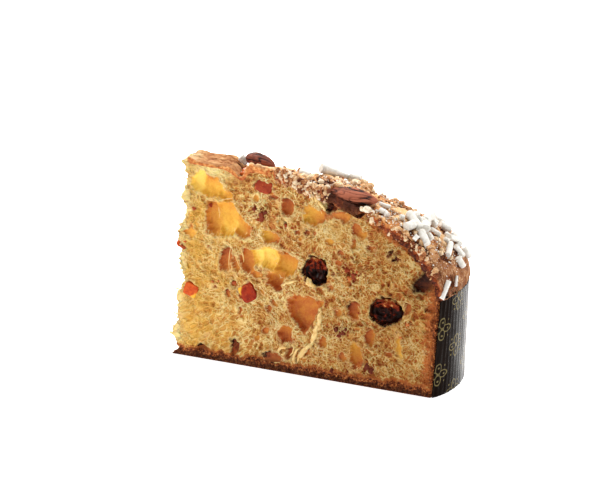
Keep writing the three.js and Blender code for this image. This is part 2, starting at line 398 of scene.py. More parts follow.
@dataclass(frozen=True)
class Wedge:
    """The form of the slice, the same as the solid's: a wedge cut from one domed lobe."""

    origin: tuple[float, float, float] = (90.0, 20.0, 0.0)
    rim_centre: tuple[float, float] = (97.4, 21.0)
    rim_radius: float = 50.0
    angle: float = math.radians(18.6)
    tip_thickness: float = 7.0
    tip_foot: float = 2.0
    tip_lean: float = 0.085
    tip_skew: float = 0.75
    toe_length: float = 4.0
    toe_height: float = 4.0
    tears: tuple[tuple[float, float, float], ...] = ((1.5, 2.9, 0.6), (0.9, 6.7, 2.1))
    paper_flare: float = 1.3
    corner_flare: float = 1.8
    corner_spread: float = math.radians(12.0)
    crest: float = 102.5
    dome_power: float = 2.5
    rim_fade: float = 6.0
    lip_start: float = 50.5
    lip_end: float = 55.0
    almond_bed: float = 5.6
    bed_along: tuple[float, float, float, float] = (83.0, 87.5, 103.0, 108.5)
    bed_across: tuple[float, float] = (2.6, 6.6)
    # the notch in the crust: its depth, place, width and how it runs back
    notch: tuple[float, float, float, float] = (5.0, 39.6, 3.2, 0.25)
    # the swelling right of the notch: its height, place and spread
    swelling: tuple[float, float, float] = (2.4, 62.0, 15.0)
    slab_middle: tuple[float, float] = (86.0, 18.0)
    slab_half: tuple[float, float] = (11.0, 13.0)
    slab_edge: float = 0.75
    slab_rise: float = 3.2
    # distances from the tip, spreads and falls of the crust towards the rear cut
    rear_falls: tuple[tuple[float, float, float], ...] = ((82, 28, 6.5), (15, 18, -2.2), (126, 20, 3.5))

    @property
    def paper_height(self) -> float:
        """Height of the paper band, from the frame."""
        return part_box("paper_band")[1].z / METRE

    def place(self, points: Array) -> Array:
        """Turn wedge millimetres into the frame's metres."""
        return (points - np.array(self.origin)) * METRE

    def node_box(self, node: str) -> tuple[Array, Array]:
        """Middle and half size of one of the frame's nodes, in wedge millimetres."""
        low, high = (np.array(corner) / METRE + np.array(self.origin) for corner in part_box(node))
        return (low + high) / 2.0, (high - low) / 2.0

    def past_tip(self, x: Array, z: Array) -> Array:
        """Distance from the leaning line of the tip."""
        return x - self.tip_foot - self.tip_lean * z

    def rear_point(self, along: Array, depth: Array, z: Array) -> Array:
        """A point on the rear cut: so many mm from the tip along it, and so deep into the crumb."""
        x = along * math.cos(self.angle) + depth * math.sin(self.angle)
        y = self.tip_thickness + along * math.sin(self.angle) - depth * math.cos(self.angle)
        return np.stack([x, y, z], axis=-1)

    def rim_point(self, across: Array, z: Array, inset: Array) -> Array:
        """A point on the round rim.

        The radius grows with height like the paper's flare, and more near the front corner by a
        bell curve. The two end angles are those where the circle meets the two cut planes.

        Args:
            across: 0 at the front cut and 1 at the rear cut.
            z: Height in mm.
            inset: How far inside the paper's outer face.

        Returns:
            x and y, shape (..., 2).
        """
        centre_x, centre_y = self.rim_centre
        offset = self.tip_thickness * math.cos(self.angle) + centre_x * math.sin(self.angle)
        offset -= centre_y * math.cos(self.angle)
        lean = np.minimum(z / self.paper_height, 1.0)
        front = self.rim_radius + lean * (self.paper_flare + self.corner_flare) - inset
        rear = self.rim_radius + lean * self.paper_flare - inset
        start = -np.arcsin(centre_y / front)
        sweep = across * (self.angle + np.arcsin(offset / rear) - start)
        radius = rear + (front - rear) * bell(sweep, self.corner_spread)
        turn = start + sweep
        return np.stack([centre_x + radius * np.cos(turn), centre_y + radius * np.sin(turn)], axis=-1)

    def tip_point(self, across: Array, z: Array) -> Array:
        """A point on the torn tip: leaning, with two waves of tears and a thin toe at the floor.

        Args:
            across: 0 at the front cut and 1 at the rear cut.
            z: Height in mm.

        Returns:
            x and y, shape (..., 2).
        """
        toe = self.toe_length * np.maximum(0.0, 1.0 - z / self.toe_height)
        x = self.tip_foot + self.tip_lean * z + self.tip_skew * across - toe
        x = x + sum(size * np.sin(z / wave + start) for size, wave, start in self.tears)
        return np.stack([x, across * (self.tip_thickness + x * math.tan(self.angle))], axis=-1)

    def plan_point(
        self, along: Array, across: Array, z: Array, lip: float, foot: float = 1.3
    ) -> Array:
        """A point between tip and rim at one height.

        Args:
            along: 0 at the tip and 1 at the rim.
            across: 0 at the front cut and 1 at the rear cut.
            z: Height in mm.
            lip: How far inside the paper's outer face the rim lies above the paper.
            foot: The same inside the paper.

        Returns:
            x and y, shape (..., 2).
        """
        swell = smoothstep(z, self.lip_start, self.lip_end)
        inset = foot * (1.0 - swell) + lip * swell
        tip, rim = self.tip_point(across, z), self.rim_point(across, z, inset)
        return tip + (rim - tip) * along[..., None]

    def top_height(self, x: Array, y: Array, across: Array) -> Array:
        """Height of the crust: a dome over the rim, plus bells for its notch, lip, falls and slab.

        Args:
            x: Distance along the slice.
            y: Distance into it.
            across: 0 at the front cut and 1 at the rear cut.

        Returns:
            Height in mm.
        """
        rim = self.rim_point(across, np.full_like(x, self.paper_height), np.zeros_like(x))
        reach = np.minimum(1.0, np.hypot(x, y) / np.hypot(rim[..., 0], rim[..., 1]))
        radius = reach * np.hypot(rim[..., 0], rim[..., 1])
        dome = (self.crest - self.paper_height) * np.sqrt(1.0 - reach ** self.dome_power)
        relief = self.slab_height(x, y)
        height, place, spread = self.swelling
        relief = relief + height * bell(x - place, spread) * (1.0 - across)
        depth, place, width, run_back = self.notch
        relief = relief - depth * bell(x - place + run_back * y, width)
        relief = relief + 0.5 * np.sin(x / 7.0 + 1.2) * np.cos(y / 8.0 + 0.4)
        for place, spread, drop in self.rear_falls:
            relief = relief - drop * bell(radius - place, spread) * across ** 1.5
        return self.paper_height + dome + relief * np.minimum(1.0, self.rim_fade * (1.0 - reach))

    def slab_height(self, x: Array, y: Array) -> Array:
        """Extra height of the thick slab of glaze, with soft edges.

        Args:
            x: Distance along the slice.
            y: Distance into it.

        Returns:
            Height in mm.
        """
        (mid_x, mid_y), (half_x, half_y) = self.slab_middle, self.slab_half
        inside_x = 1.0 / (1.0 + np.exp((np.abs(x - mid_x) - half_x) / self.slab_edge))
        inside_y = 1.0 / (1.0 + np.exp((np.abs(y - mid_y) - half_y) / self.slab_edge))
        return self.slab_rise * inside_x * inside_y

    def bed_depth(self, x: Array, y: Array) -> Array:
        """How far the crust is broken away at the front cut, under the almond that lies there."""
        return self.almond_bed * plateau(x, *self.bed_along) * (1.0 - smoothstep(y, *self.bed_across))


WEDGE = Wedge()


# ---------------------------------------------------------------- shaders


class Field:
    """A value, colour or vector that varies over a surface. Its arithmetic makes Math nodes."""

    def __init__(self, graph: "Graph", socket: bpy.types.NodeSocket) -> None:
        """Keep the graph, and the socket that gives the value."""
        self.graph, self.socket = graph, socket

    def __add__(self, other: object) -> "Field":
        """The sum."""
        return self.graph.math("ADD", self, other)

    def __sub__(self, other: object) -> "Field":
        """The difference."""
        return self.graph.math("SUBTRACT", self, other)

    def __rsub__(self, other: float) -> "Field":
        """A number less this value."""
        return self.graph.math("SUBTRACT", other, self)

    def __mul__(self, other: object) -> "Field":
        """The product."""
        return self.graph.math("MULTIPLY", self, other)

    def __truediv__(self, other: object) -> "Field":
        """The quotient."""
        return self.graph.math("DIVIDE", self, other)

    def __rtruediv__(self, other: float) -> "Field":
        """A number divided by this value."""
        return self.graph.math("DIVIDE", other, self)

    def __abs__(self) -> "Field":
        """The size without its sign."""
        return self.graph.math("ABSOLUTE", self)


class Graph:
    """Adds and joins the nodes of one material or node group."""

    def __init__(self, tree: bpy.types.NodeTree) -> None:
        """Keep the node tree."""
        self.tree = tree

    def add(self, kind: str, inputs: dict | None = None, **settings: object) -> bpy.types.Node:
        """Add a node, give its settings, and fill or join its inputs.

        Args:
            kind: The node's type.
            inputs: A field or a plain value for each input name or number.
            settings: The node's properties.

        Returns:
            The node.
        """
        node = self.tree.nodes.new(kind)
        for name, value in settings.items():
            setattr(node, name, value)
        for key, value in (inputs or {}).items():
            if isinstance(value, Field):
                self.tree.links.new(value.socket, node.inputs[key])
            else:
                node.inputs[key].default_value = value
        return node

    def out(self, kind: str, output: str | int, inputs: dict | None = None, **settings: object) -> Field:
        """Add a node and give one of its outputs."""
        return Field(self, self.add(kind, inputs, **settings).outputs[output])

    def math(self, operation: str, *values: object, clamp: bool = False) -> Field:
        """Add a Math node."""
        inputs = dict(enumerate(values))
        return self.out("ShaderNodeMath", 0, inputs, operation=operation, use_clamp=clamp)

    def clip(self, value: Field) -> Field:
        """Keep a value between 0 and 1."""
        return self.math("ADD", value, 0.0, clamp=True)

    def rise(self, value: Field, low: float, high: float) -> Field:
        """Rise smoothly from 0 to 1 between two values."""
        inputs = {"Value": value, "From Min": low, "From Max": high}
        return self.out("ShaderNodeMapRange", 0, inputs, interpolation_type="SMOOTHSTEP")

    def mix(self, factor: object, first: object, second: object, blend: str = "MIX") -> Field:
        """Mix two colours."""
        inputs = {0: factor, 6: first, 7: second}
        return self.out("ShaderNodeMix", 2, inputs, data_type="RGBA", blend_type=blend)

    def ramp(self, factor: Field, *stops: tuple[float, Colour]) -> Field:
        """Turn a value into a colour by stops of place and colour.

        Args:
            factor: The value.
            stops: Pairs of place and colour.

        Returns:
            The colour.
        """
        node = self.add("ShaderNodeValToRGB", {0: factor})
        elements = node.color_ramp.elements
        while len(elements) < len(stops):
            elements.new(0.5)
        for element, (position, colour) in zip(elements, stops):
            element.position = position
            element.color = colour
        return Field(self, node.outputs[0])

    def value(self, name: str) -> Field:
        """Read one of the mesh's point values."""
        return self.out("ShaderNodeAttribute", "Fac", attribute_name=name)

    def place(self, scale: tuple[float, float, float] = (1.0, 1.0, 1.0)) -> Field:
        """Object coordinates in millimetres, stretched by a scale."""
        where = self.out("ShaderNodeTexCoord", "Object")
        millimetres = tuple(factor / METRE for factor in scale)
        return self.out("ShaderNodeMapping", 0, {"Vector": where, "Scale": millimetres})

    def noise(self, vector: Field, size: float, detail: float = 3.0, rough: float = 0.55) -> Field:
        """Noise with bumps of a size in mm."""
        inputs = {"Vector": vector, "Scale": 1.0 / size, "Detail": detail, "Roughness": rough}
        return self.out("ShaderNodeTexNoise", "Fac", inputs)

    def warp(self, vector: Field, size: float, amount: float) -> Field:
        """Move a vector about by coloured noise of a size, up to half the amount each way, in mm.

        Args:
            vector: The vector.
            size: The noise's size in mm.
            amount: The whole width of the movement.

        Returns:
            The moved vector.
        """
        inputs = {"Vector": vector, "Scale": 1.0 / size, "Detail": 2.0}
        drift = self.out("ShaderNodeTexNoise", "Color", inputs)
        middle = self.out("ShaderNodeVectorMath", 0, {0: drift, 1: (0.5, 0.5, 0.5)}, operation="SUBTRACT")
        scaled = {0: middle, 1: (amount, amount, amount), 2: vector}
        return self.out("ShaderNodeVectorMath", 0, scaled, operation="MULTIPLY_ADD")

    def bump(self, height: Field, depth: float, strength: float = 1.0) -> Field:
        """Bump of a depth in mm."""
        inputs = {"Height": height, "Distance": depth * METRE, "Strength": strength}
        return self.out("ShaderNodeBump", 0, inputs)


class SharedNodes:
    """Node groups that more than one finish uses, each built once and placed where it is asked for."""

    _trees: dict[str, bpy.types.NodeTree] = {}

    @classmethod
    def _start(cls, name: str, output: str, *inputs: str) -> tuple[Graph, list[Field]]:
        """Start a group tree whose first input is a vector and whose other sockets are numbers.

        Args:
            name: Name of the group.
            output: Name of its output.
            inputs: Names of its inputs.

        Returns:
            The graph and the inputs.
        """
        tree = bpy.data.node_groups.new(name, "ShaderNodeTree")
        for label in inputs:
            kind = "NodeSocketVector" if label == "Vector" else "NodeSocketFloat"
            tree.interface.new_socket(name=label, in_out="INPUT", socket_type=kind)
        tree.interface.new_socket(name=output, in_out="OUTPUT", socket_type="NodeSocketFloat")
        cls._trees[name] = tree
        graph = Graph(tree)
        start = graph.add("NodeGroupInput")
        return graph, [Field(graph, start.outputs[label]) for label in inputs]

    @classmethod
    def grain(cls, place: Graph, vector: Field, size: float) -> Field:
        """Grain: a coarse and a fine noise added, for granular and dusty surfaces.

        Args:
            place: The graph that the group goes into.
            vector: Where the surface is, in mm.
            size: Size of the grains in mm.

        Returns:
            The height of the grain.
        """
        if "grain" not in cls._trees:
            graph, (where, grain_size) = cls._start("grain", "Height", "Vector", "Size")
            rate = 1.0 / grain_size
            inputs = {"Vector": where, "Scale": rate, "Detail": 4.0, "Roughness": 0.62}
            coarse = graph.out("ShaderNodeTexNoise", "Fac", inputs)
            finer = {"Vector": where, "Scale": rate * 3.1}
            fine = graph.out("ShaderNodeTexVoronoi", "Distance", finer, feature="F1")
            graph.add("NodeGroupOutput", {"Height": coarse - fine * 0.35})
        inputs = {"Vector": vector, "Size": size}
        return place.out("ShaderNodeGroup", 0, inputs, node_tree=cls._trees["grain"])

    @classmethod
    def dust(cls, place: Graph, vector: Field, amount: object) -> Field:
        """Sugar dust: a mask of patches broken into specks, more of it as the amount grows.

        Args:
            place: The graph that the group goes into.
            vector: Where the surface is, in mm.
            amount: How much dust, from 0 to 1.

        Returns:
            The mask.
        """
        if "dust" not in cls._trees:
            graph, (where, share) = cls._start("dust", "Mask", "Vector", "Amount")
            patches = graph.noise(where, 7.0, detail=5.0, rough=0.7)
            specks = graph.noise(where, 0.7, detail=2.0)
            total = patches * 0.6 + specks * 0.4
            graph.add("NodeGroupOutput", {"Mask": graph.clip((total - (0.95 - share)) * 9.0)})
        inputs = {"Vector": vector, "Amount": amount}
        return place.out("ShaderNodeGroup", 0, inputs, node_tree=cls._trees["dust"])


@dataclass(frozen=True)
class Gloss:
    """The plain numbers of a finish, which are the same all over it."""

    roughness: float = 0.6
    specular: float = 0.4
    coat: float = 0.0
    coat_roughness: float = 0.1
    subsurface: float = 0.0
    scatter: tuple[float, float, float] = (1.0, 0.5, 0.25)
    scatter_mm: float = 1.0
    sheen: float = 0.0
    glow: float = 0.0

    def shader(self, graph: Graph, links: dict) -> None:
        """Add the Principled shader with these numbers and join the varying inputs.

        Args:
            graph: The graph that the nodes go into.
            links: The varying inputs by name.
        """
        settings = {
            "Roughness": self.roughness,
            "Specular IOR Level": self.specular,
            "Coat Weight": self.coat,
            "Coat Roughness": self.coat_roughness,
            "Subsurface Weight": self.subsurface,
            "Subsurface Radius": self.scatter,
            "Subsurface Scale": self.scatter_mm * METRE,
            "Sheen Weight": self.sheen,
            "Emission Strength": self.glow,
        }
        shader = graph.out("ShaderNodeBsdfPrincipled", 0, {**settings, **links})
        graph.add("ShaderNodeOutputMaterial", {"Surface": shader})


@dataclass(frozen=True)
class Finish:
    """A named finish. Each kind below fills in its own nodes."""

    name: str = "finish"
    gloss: Gloss = Gloss()

    def material(self) -> bpy.types.Material:
        """Build the material.

        Returns:
            The material.
        """
        made = bpy.data.materials.new(self.name)
        made.use_nodes = True
        made.node_tree.nodes.clear()
        graph = Graph(made.node_tree)
        self.gloss.shader(graph, self.nodes(graph))
        return made

    def nodes(self, graph: Graph) -> dict:
        """Give the sockets that vary over the surface."""
        return {}


def make_piece(
    name: str, surface: Surface, finish: Finish, slot: str, *replaced: str
) -> bpy.types.Object:
    """Put a surface into the scene as a piece that rides on the slice.

    Args:
        name: Name of the piece.
        surface: Its surface in wedge millimetres.
        finish: Its finish.
        slot: The record's material slot; not used.
        replaced: The frame's nodes that it stands for.

    Returns:
        The object.
    """
    mesh = bpy.data.meshes.new(name)
    points = WEDGE.place(surface.points).astype(np.float32)
    corners = np.concatenate([surface.quads.reshape(-1), surface.triangles.reshape(-1)]).astype(np.int32)
    sizes = np.concatenate([np.full(len(surface.quads), 4), np.full(len(surface.triangles), 3)])
    mesh.vertices.add(len(points))
    mesh.vertices.foreach_set("co", points.reshape(-1))
    mesh.loops.add(len(corners))
    mesh.loops.foreach_set("vertex_index", corners)
    mesh.polygons.add(len(sizes))
    mesh.polygons.foreach_set("loop_start", (np.cumsum(sizes) - sizes).astype(np.int32))
    mesh.polygons.foreach_set("use_smooth", np.ones(len(sizes), bool))
    for label, value in surface.values.items():
        layer = mesh.attributes.new(label, "FLOAT", "POINT")
        layer.data.foreach_set("value", value.astype(np.float32))
    if surface.flat is not None:
        layer = mesh.uv_layers.new(name="UVMap")
        layer.data.foreach_set("uv", surface.flat[corners].astype(np.float32).reshape(-1))
    mesh.update(calc_edges=True)
    mesh.validate()
    mesh.materials.append(finish.material())
    piece = bpy.data.objects.new(name, mesh)
    bpy.context.scene.collection.objects.link(piece)
    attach(piece, BODY)
    if replaced:
        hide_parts(*replaced)
    triangles = 2 * len(surface.quads) + len(surface.triangles)
    LOG.info("%s: %d triangles", name, triangles)
    return piece


# ---------------------------------------------------------------- crumb


class Side(IntEnum):
    """The four sides of a ring round the slice, in the order in which the ring is laid."""

    FRONT = 0
    TOP = 1
    REAR = 2
    FLOOR = 3


@dataclass(frozen=True)
class Hollow:
    """One air hole in a cut face, in mm: its place, half sizes and depth, and how its inside looks.

    Tone runs from 0, lit yellow, to 1, dark brown: painted light and shade inside the hole. Swing is how
    much paler the inside gets towards the direction sunward, in degrees: painted light on that side. Glow
    is how much the inside glows as if lit through from behind: painted light.
    """

    x: float
    z: float
    half_width: float
    half_height: float
    depth: float
    turn: float = 0.0
    taper: float = 0.0
    tone: float = 0.6
    glow: float = 0.0
    angular: float = 2.5
    swing: float = 0.16
    sunward: float = -40.0

    def local(self, x: Array, z: Array) -> tuple[Array, Array]:
        """Place across and up the hole, in half sizes.

        Args:
            x: Distance along the cut.
            z: Height.

        Returns:
            Both shares, 1 on the outline.
        """
        a = math.radians(self.turn)
        across = (x - self.x) * math.cos(a) + (z - self.z) * math.sin(a)
        up = (z - self.z) * math.cos(a) - (x - self.x) * math.sin(a)
        wide = self.half_width * np.clip(1.0 + self.taper * up / self.half_height, 0.15, 2.0)
        return across / wide, up / self.half_height

    def reach(self, x: Array, z: Array) -> Array:
        """Distance from the middle, 1 on the outline: a turned and tapered superellipse."""
        across, up = self.local(x, z)
        return (np.abs(across) ** self.angular + np.abs(up) ** self.angular) ** (1.0 / self.angular)

    def shade(self, x: Array, z: Array) -> Array:
        """Tone of the inside, paler towards the sunward side as painted light.

        Args:
            x: Distance along the cut.
            z: Height.

        Returns:
            Tone from 0 to 1.
        """
        a = math.radians(self.sunward)
        size = math.hypot(self.half_width, self.half_height) / math.sqrt(2.0)
        side = ((x - self.x) * math.cos(a) + (z - self.z) * math.sin(a)) / size
        return self.tone - self.swing * np.clip(side, -1.2, 1.2)


@dataclass(frozen=True)
class Stain:
    """A soft patch of colour on a cut face, in mm."""

    x: float
    z: float
    half_width: float
    half_height: float
    strength: float = 1.0
    turn: float = 0.0

    def cover(self, x: Array, z: Array) -> Array:
        """A flat-topped bell round the middle."""
        shape = Hollow(self.x, self.z, self.half_width, self.half_height, 1.0, self.turn, angular=2.0)
        return self.strength * (1.0 - smoothstep(shape.reach(x, z), 0.45, 1.15))


# each row: x, z, half width, half height, depth, turn, taper, tone, glow, angular, swing, sunward
FRONT_HOLLOWS = rows_of(Hollow, (
    # the two holes at the upper left, which glow with painted light
    (17.6, 91.4, 4.6, 5.6, 3.9, -10, 0, 0.04, 1, 2.4, 0.16, 180),
    (24.6, 89.6, 6.6, 5.4, 3.9, -14, 0.1, 0.34, 0.5, 2.6, 0.16, -60),
    (31.6, 86.4, 4.6, 3.4, 3, -22, 0, 0.36, 0.4, 2.2, 0.14, 200),
    (24.6, 74, 4.6, 8.8, 4.6, 0, 0, 0.5, 0.3, 3.4, 0.2, -10),
    (32.4, 74.4, 6.4, 8.6, 4.9, 0, 0.1, 0.3, 0.6, 2.8, 0.12, -90),
    (40.2, 71.8, 3.8, 6.2, 4.2, 22, -0.3, 0.46, 0.3, 2.2, 0.16, 180),
    # the large one in the middle, and its neighbours to the left
    (55.4, 57.4, 5.4, 5.8, 5.4, -4, 0.2, 0.12, 0.9, 2.4, 0.16, -140),
    (64.6, 54.6, 6, 6.4, 5.8, -18, 0.2, 0.45, 0.25, 2.6, 0.14, -90),
    (59.2, 45.8, 4.8, 6.4, 5.2, 8, 0.6, 0.62, 0.1, 2.2, 0.14, 90),
    (48.6, 57.2, 4.4, 3.6, 4, 10, 0, 0.1, 0.9, 2.2, 0.15, 0),
    (43, 54, 3.8, 6.6, 3.6, 6, 0, 0.66, 0.2, 2.4, 0.16, 0),
    (31.4, 54.2, 3, 6.8, 3.2, -6, 0, 0.72, 0.1, 2.4), (36.6, 52, 1.9, 4.6, 2.4, 8, 0, 0.64, 0.1),
    (48.4, 48.4, 3, 2.1, 2, -20, 0, 0.62, 0.2),
    # upper middle
    (56.8, 67.6, 4.8, 3.3, 3.2, -10, 0.3, 0.52, 0.2, 2.2, 0.2, 190),
    (65.8, 84.2, 3.7, 4.6, 3.4, 8, 0.1, 0.76, 0, 2.5, 0.12, -90),
    (79.9, 81.6, 6, 4.9, 3.4, -14, 0.3, 0.44, 0.1, 2.4, 0.16, 190), (59, 88.4, 2.9, 1.1, 1.6, -8, 0, 0.8),
    (65.2, 75.3, 1.1, 2, 1.4, 8, 0, 0.74), (75.9, 72.6, 1.3, 2.1, 1.6, -16, 0.3, 0.8),
    (71, 72.2, 1.4, 1.3, 1.4, 0, 0, 0.8), (100.1, 70.4, 1.4, 2.6, 1.8, -6, 0, 0.66),
    (95.5, 81.2, 1.6, 2.1, 1.6, 0, 0, 0.56, 0.1), (103.4, 77.2, 4, 3, 1.8, -30, 0, 0.62),
    (94, 83.6, 6.6, 2, 0.8, 8, 0, 0.56, 0, 2), (109, 69.6, 2.6, 1.7, 1.8, 0, 0, 0.74),
    (119.7, 67.8, 2, 1, 1.8, 16, 0, 0.86), (123, 64.8, 2.2, 0.8, 1.6, -8, 0, 0.88),
    # below the almond, dark inside as painted shadow
    (89.6, 87.6, 4.6, 2.2, 3.2, 24, 0, 0.96), (101.6, 87.4, 4.4, 2.4, 3.4, -16, 0, 1),
    # the pointed hole and those below it
    (73.9, 31.2, 7.3, 9.8, 5.6, 4, 0.7, 0.68, 0, 2.6, 0.05, 90),
    (64.4, 19.8, 4.4, 4.8, 3.8, 10, -0.1, 0.66, 0, 2.4, 0.14, 80), (67.6, 10.8, 1.7, 4, 3, -26, 0, 0.76),
    (102.1, 14.6, 3.2, 7, 3.4, 7, 0, 0.5, 0, 2.1, 0.14, 110),
    (109.9, 24.4, 2.7, 4.1, 2.8, -16, 0.2, 0.62), (101.2, 36.6, 3.5, 5, 3.4, 4, 0.1, 0.72),
    (92.4, 33.9, 1.9, 2.8, 2.2, -8, 0.1, 0.62), (83.4, 38.1, 1.7, 2.8, 2, 8, 0, 0.46, 0.1),
    (88.4, 47, 1.2, 1.8, 1.6, -8, 0, 0.78), (54.5, 31.1, 1.8, 1.7, 1.9, 0, 0, 0.74),
    (58.3, 34.5, 1.9, 1.8, 1.6, 0, 0, 0.6), (53.8, 20.6, 2.3, 2, 1.5, 0, 0, 0.7),
    (84.7, 18.7, 2.6, 3.4, 2.2, 8, 0, 0.6), (36.3, 42.2, 2, 1.7, 1.8, 8, 0, 0.72),
    (32.6, 36.3, 1.6, 1.3, 1.4, 0, 0, 0.76), (39.7, 27.6, 1.3, 1.7, 1.4, -20, 0, 0.62),
    (76.1, 12.8, 2.6, 2.8, 1.7, 10, 0, 0.64), (95.7, 13, 1.9, 2.2, 1.4, 0, 0, 0.62),
    (128.7, 42, 1.8, 3.2, 2.2, -14, 0, 0.7), (93.2, 65, 1.3, 1.8, 1.5, 0, 0, 0.74),
    (125, 22.6, 1.4, 6, 0.9, 4, 0, 0.3),
    # the pits that hold the cherries, dark inside as painted shade, and the space round the peel
    (80.9, 53.9, 6.5, 7.5, 5.2, 0, 0, 1, 0, 2.2, 0), (117.3, 39.3, 8.5, 7.1, 5.2, 0, 0, 1, 0, 2.2, 0),
    (53, 93.2, 5.3, 3, 2, -24, 0, 0.66, 0, 2.4), (43.7, 38.4, 5.2, 4.8, 2.6, 30, 0, 0.72, 0, 2.4),
    (11.4, 35.3, 4, 3.7, 2, -20, 0, 0.62, 0, 2.4),
    # pits in the browned rim and the floor, dark inside as painted shade
    (141.3, 44.2, 2.4, 2.3, 2.4, 0, 0, 0.98), (141.7, 38.3, 1.9, 1.8, 2.2, 0, 0, 1),
    (136.4, 55.4, 5.4, 3.6, 3.2, 34, 0, 1), (17.6, 5.6, 3.4, 2.8, 2.6, 14, -0.4, 0.92),
    (36, 8.8, 2.2, 4.2, 2.6, -8, 0, 0.84), (57.4, 6.8, 6.4, 2.6, 1.5, 4, 0, 0.84),
    # a shallow pit in the lit left edge
    (12.6, 66, 2.2, 3.4, 1.5, 10, 0, 0.42, 0.3),
))

REAR_HOLLOWS = rows_of(Hollow, (
    (52, 74, 9, 7.2, 4.5, 18, 0.2, 0.5, 0.2, 2.5), (92, 40, 7, 9, 5.5, -12, 0.4, 0.7, 0, 2.4),
    (24, 58, 5.6, 8, 3.4, -10, 0.1, 0.34, 0.5, 2.5), (30, 86, 7, 4.6, 3.6, -18, 0, 0.38, 0.4, 2.5),
    (43, 33, 6, 5.2, 3.8, 24, 0.3, 0.6, 0.1, 2.3), (74, 62, 4.6, 6.6, 3.8, 10, 0, 0.66, 0, 2.2),
    (83, 80, 6.2, 3.6, 3.2, -24, 0, 0.48, 0.1, 2.4), (68, 20, 5, 5.8, 3.4, 8, 0.5, 0.7, 0, 2.3),
    (112, 26, 3.6, 6.4, 3.4, -14, 0, 0.64, 0, 2.2), (120, 52, 5.4, 3.4, 2.8, 16, 0, 0.74, 0, 2.2),
    (14, 30, 3.8, 5.4, 2, 10, 0, 0.36, 0.4, 2.3), (100, 62, 2.2, 3.4, 2.2, -12, 0, 0.7),
    (60, 42, 2.4, 2, 1.8, 0, 0, 0.76), (35, 14, 3, 2.4, 2, 12, 0, 0.8),
    (86, 12, 2.2, 4, 2.4, -20, 0, 0.76), (127, 34, 2, 4.4, 2.2, 6, 0, 0.66),
))

# each row: x, z, half width, half height, strength, turn
# patches of painted shade in the cherries' pits, the caramel pit, under the almond and in the floor pits,
# over real browning at the floor
FRONT_SHADE = rows_of(Stain, (
    (80.9, 53.9, 6.2, 7.4, 0.95), (117.3, 39.3, 8.2, 6.8, 0.95), (136.2, 55.7, 8.2, 5.8, 0.85, 34),
    (133.8, 49.6, 4.6, 2.8, 0.4, 50), (56.5, 5.9, 8, 3.2, 0.35), (17.6, 5.3, 4, 3, 0.35),
    (37.2, 7.6, 1.6, 3.8, 0.5), (95, 88.6, 12, 3.6, 0.8, -8),
))

FRONT_RED = rows_of(Stain, (
    (50.4, 79.6, 5.4, 6.2, 1, -20), (99.8, 56.3, 7, 5.8, 0.8, -30), (93.8, 25.5, 6.2, 4.6, 0.95, 12),
    (109.5, 9.4, 4.6, 4.2, 1), (89.6, 5, 2.6, 1.8, 0.8), (23.6, 80.4, 2, 1.9, 0.6),
    (14, 77.9, 1.7, 1.7, 0.9), (129.1, 34.6, 2, 1.6, 0.8), (36.3, 42.2, 2.6, 2.2, 0.6),
    (54.5, 31.1, 2.2, 2, 0.5), (46, 71.6, 1.6, 1.4, 0.6), (119.7, 67.4, 3.6, 3, 0.7),
    (76, 62, 4.6, 2.4, 0.5, -30),
))

# painted shade round the rear cherry
REAR_SHADE = rows_of(Stain, ((134, 54, 4, 2.6, 0.3),))
REAR_RED = rows_of(Stain, ((40, 60, 5, 4.4, 0.9), (104, 76, 5.4, 4, 0.9), (78, 28, 5, 4, 0.9)))


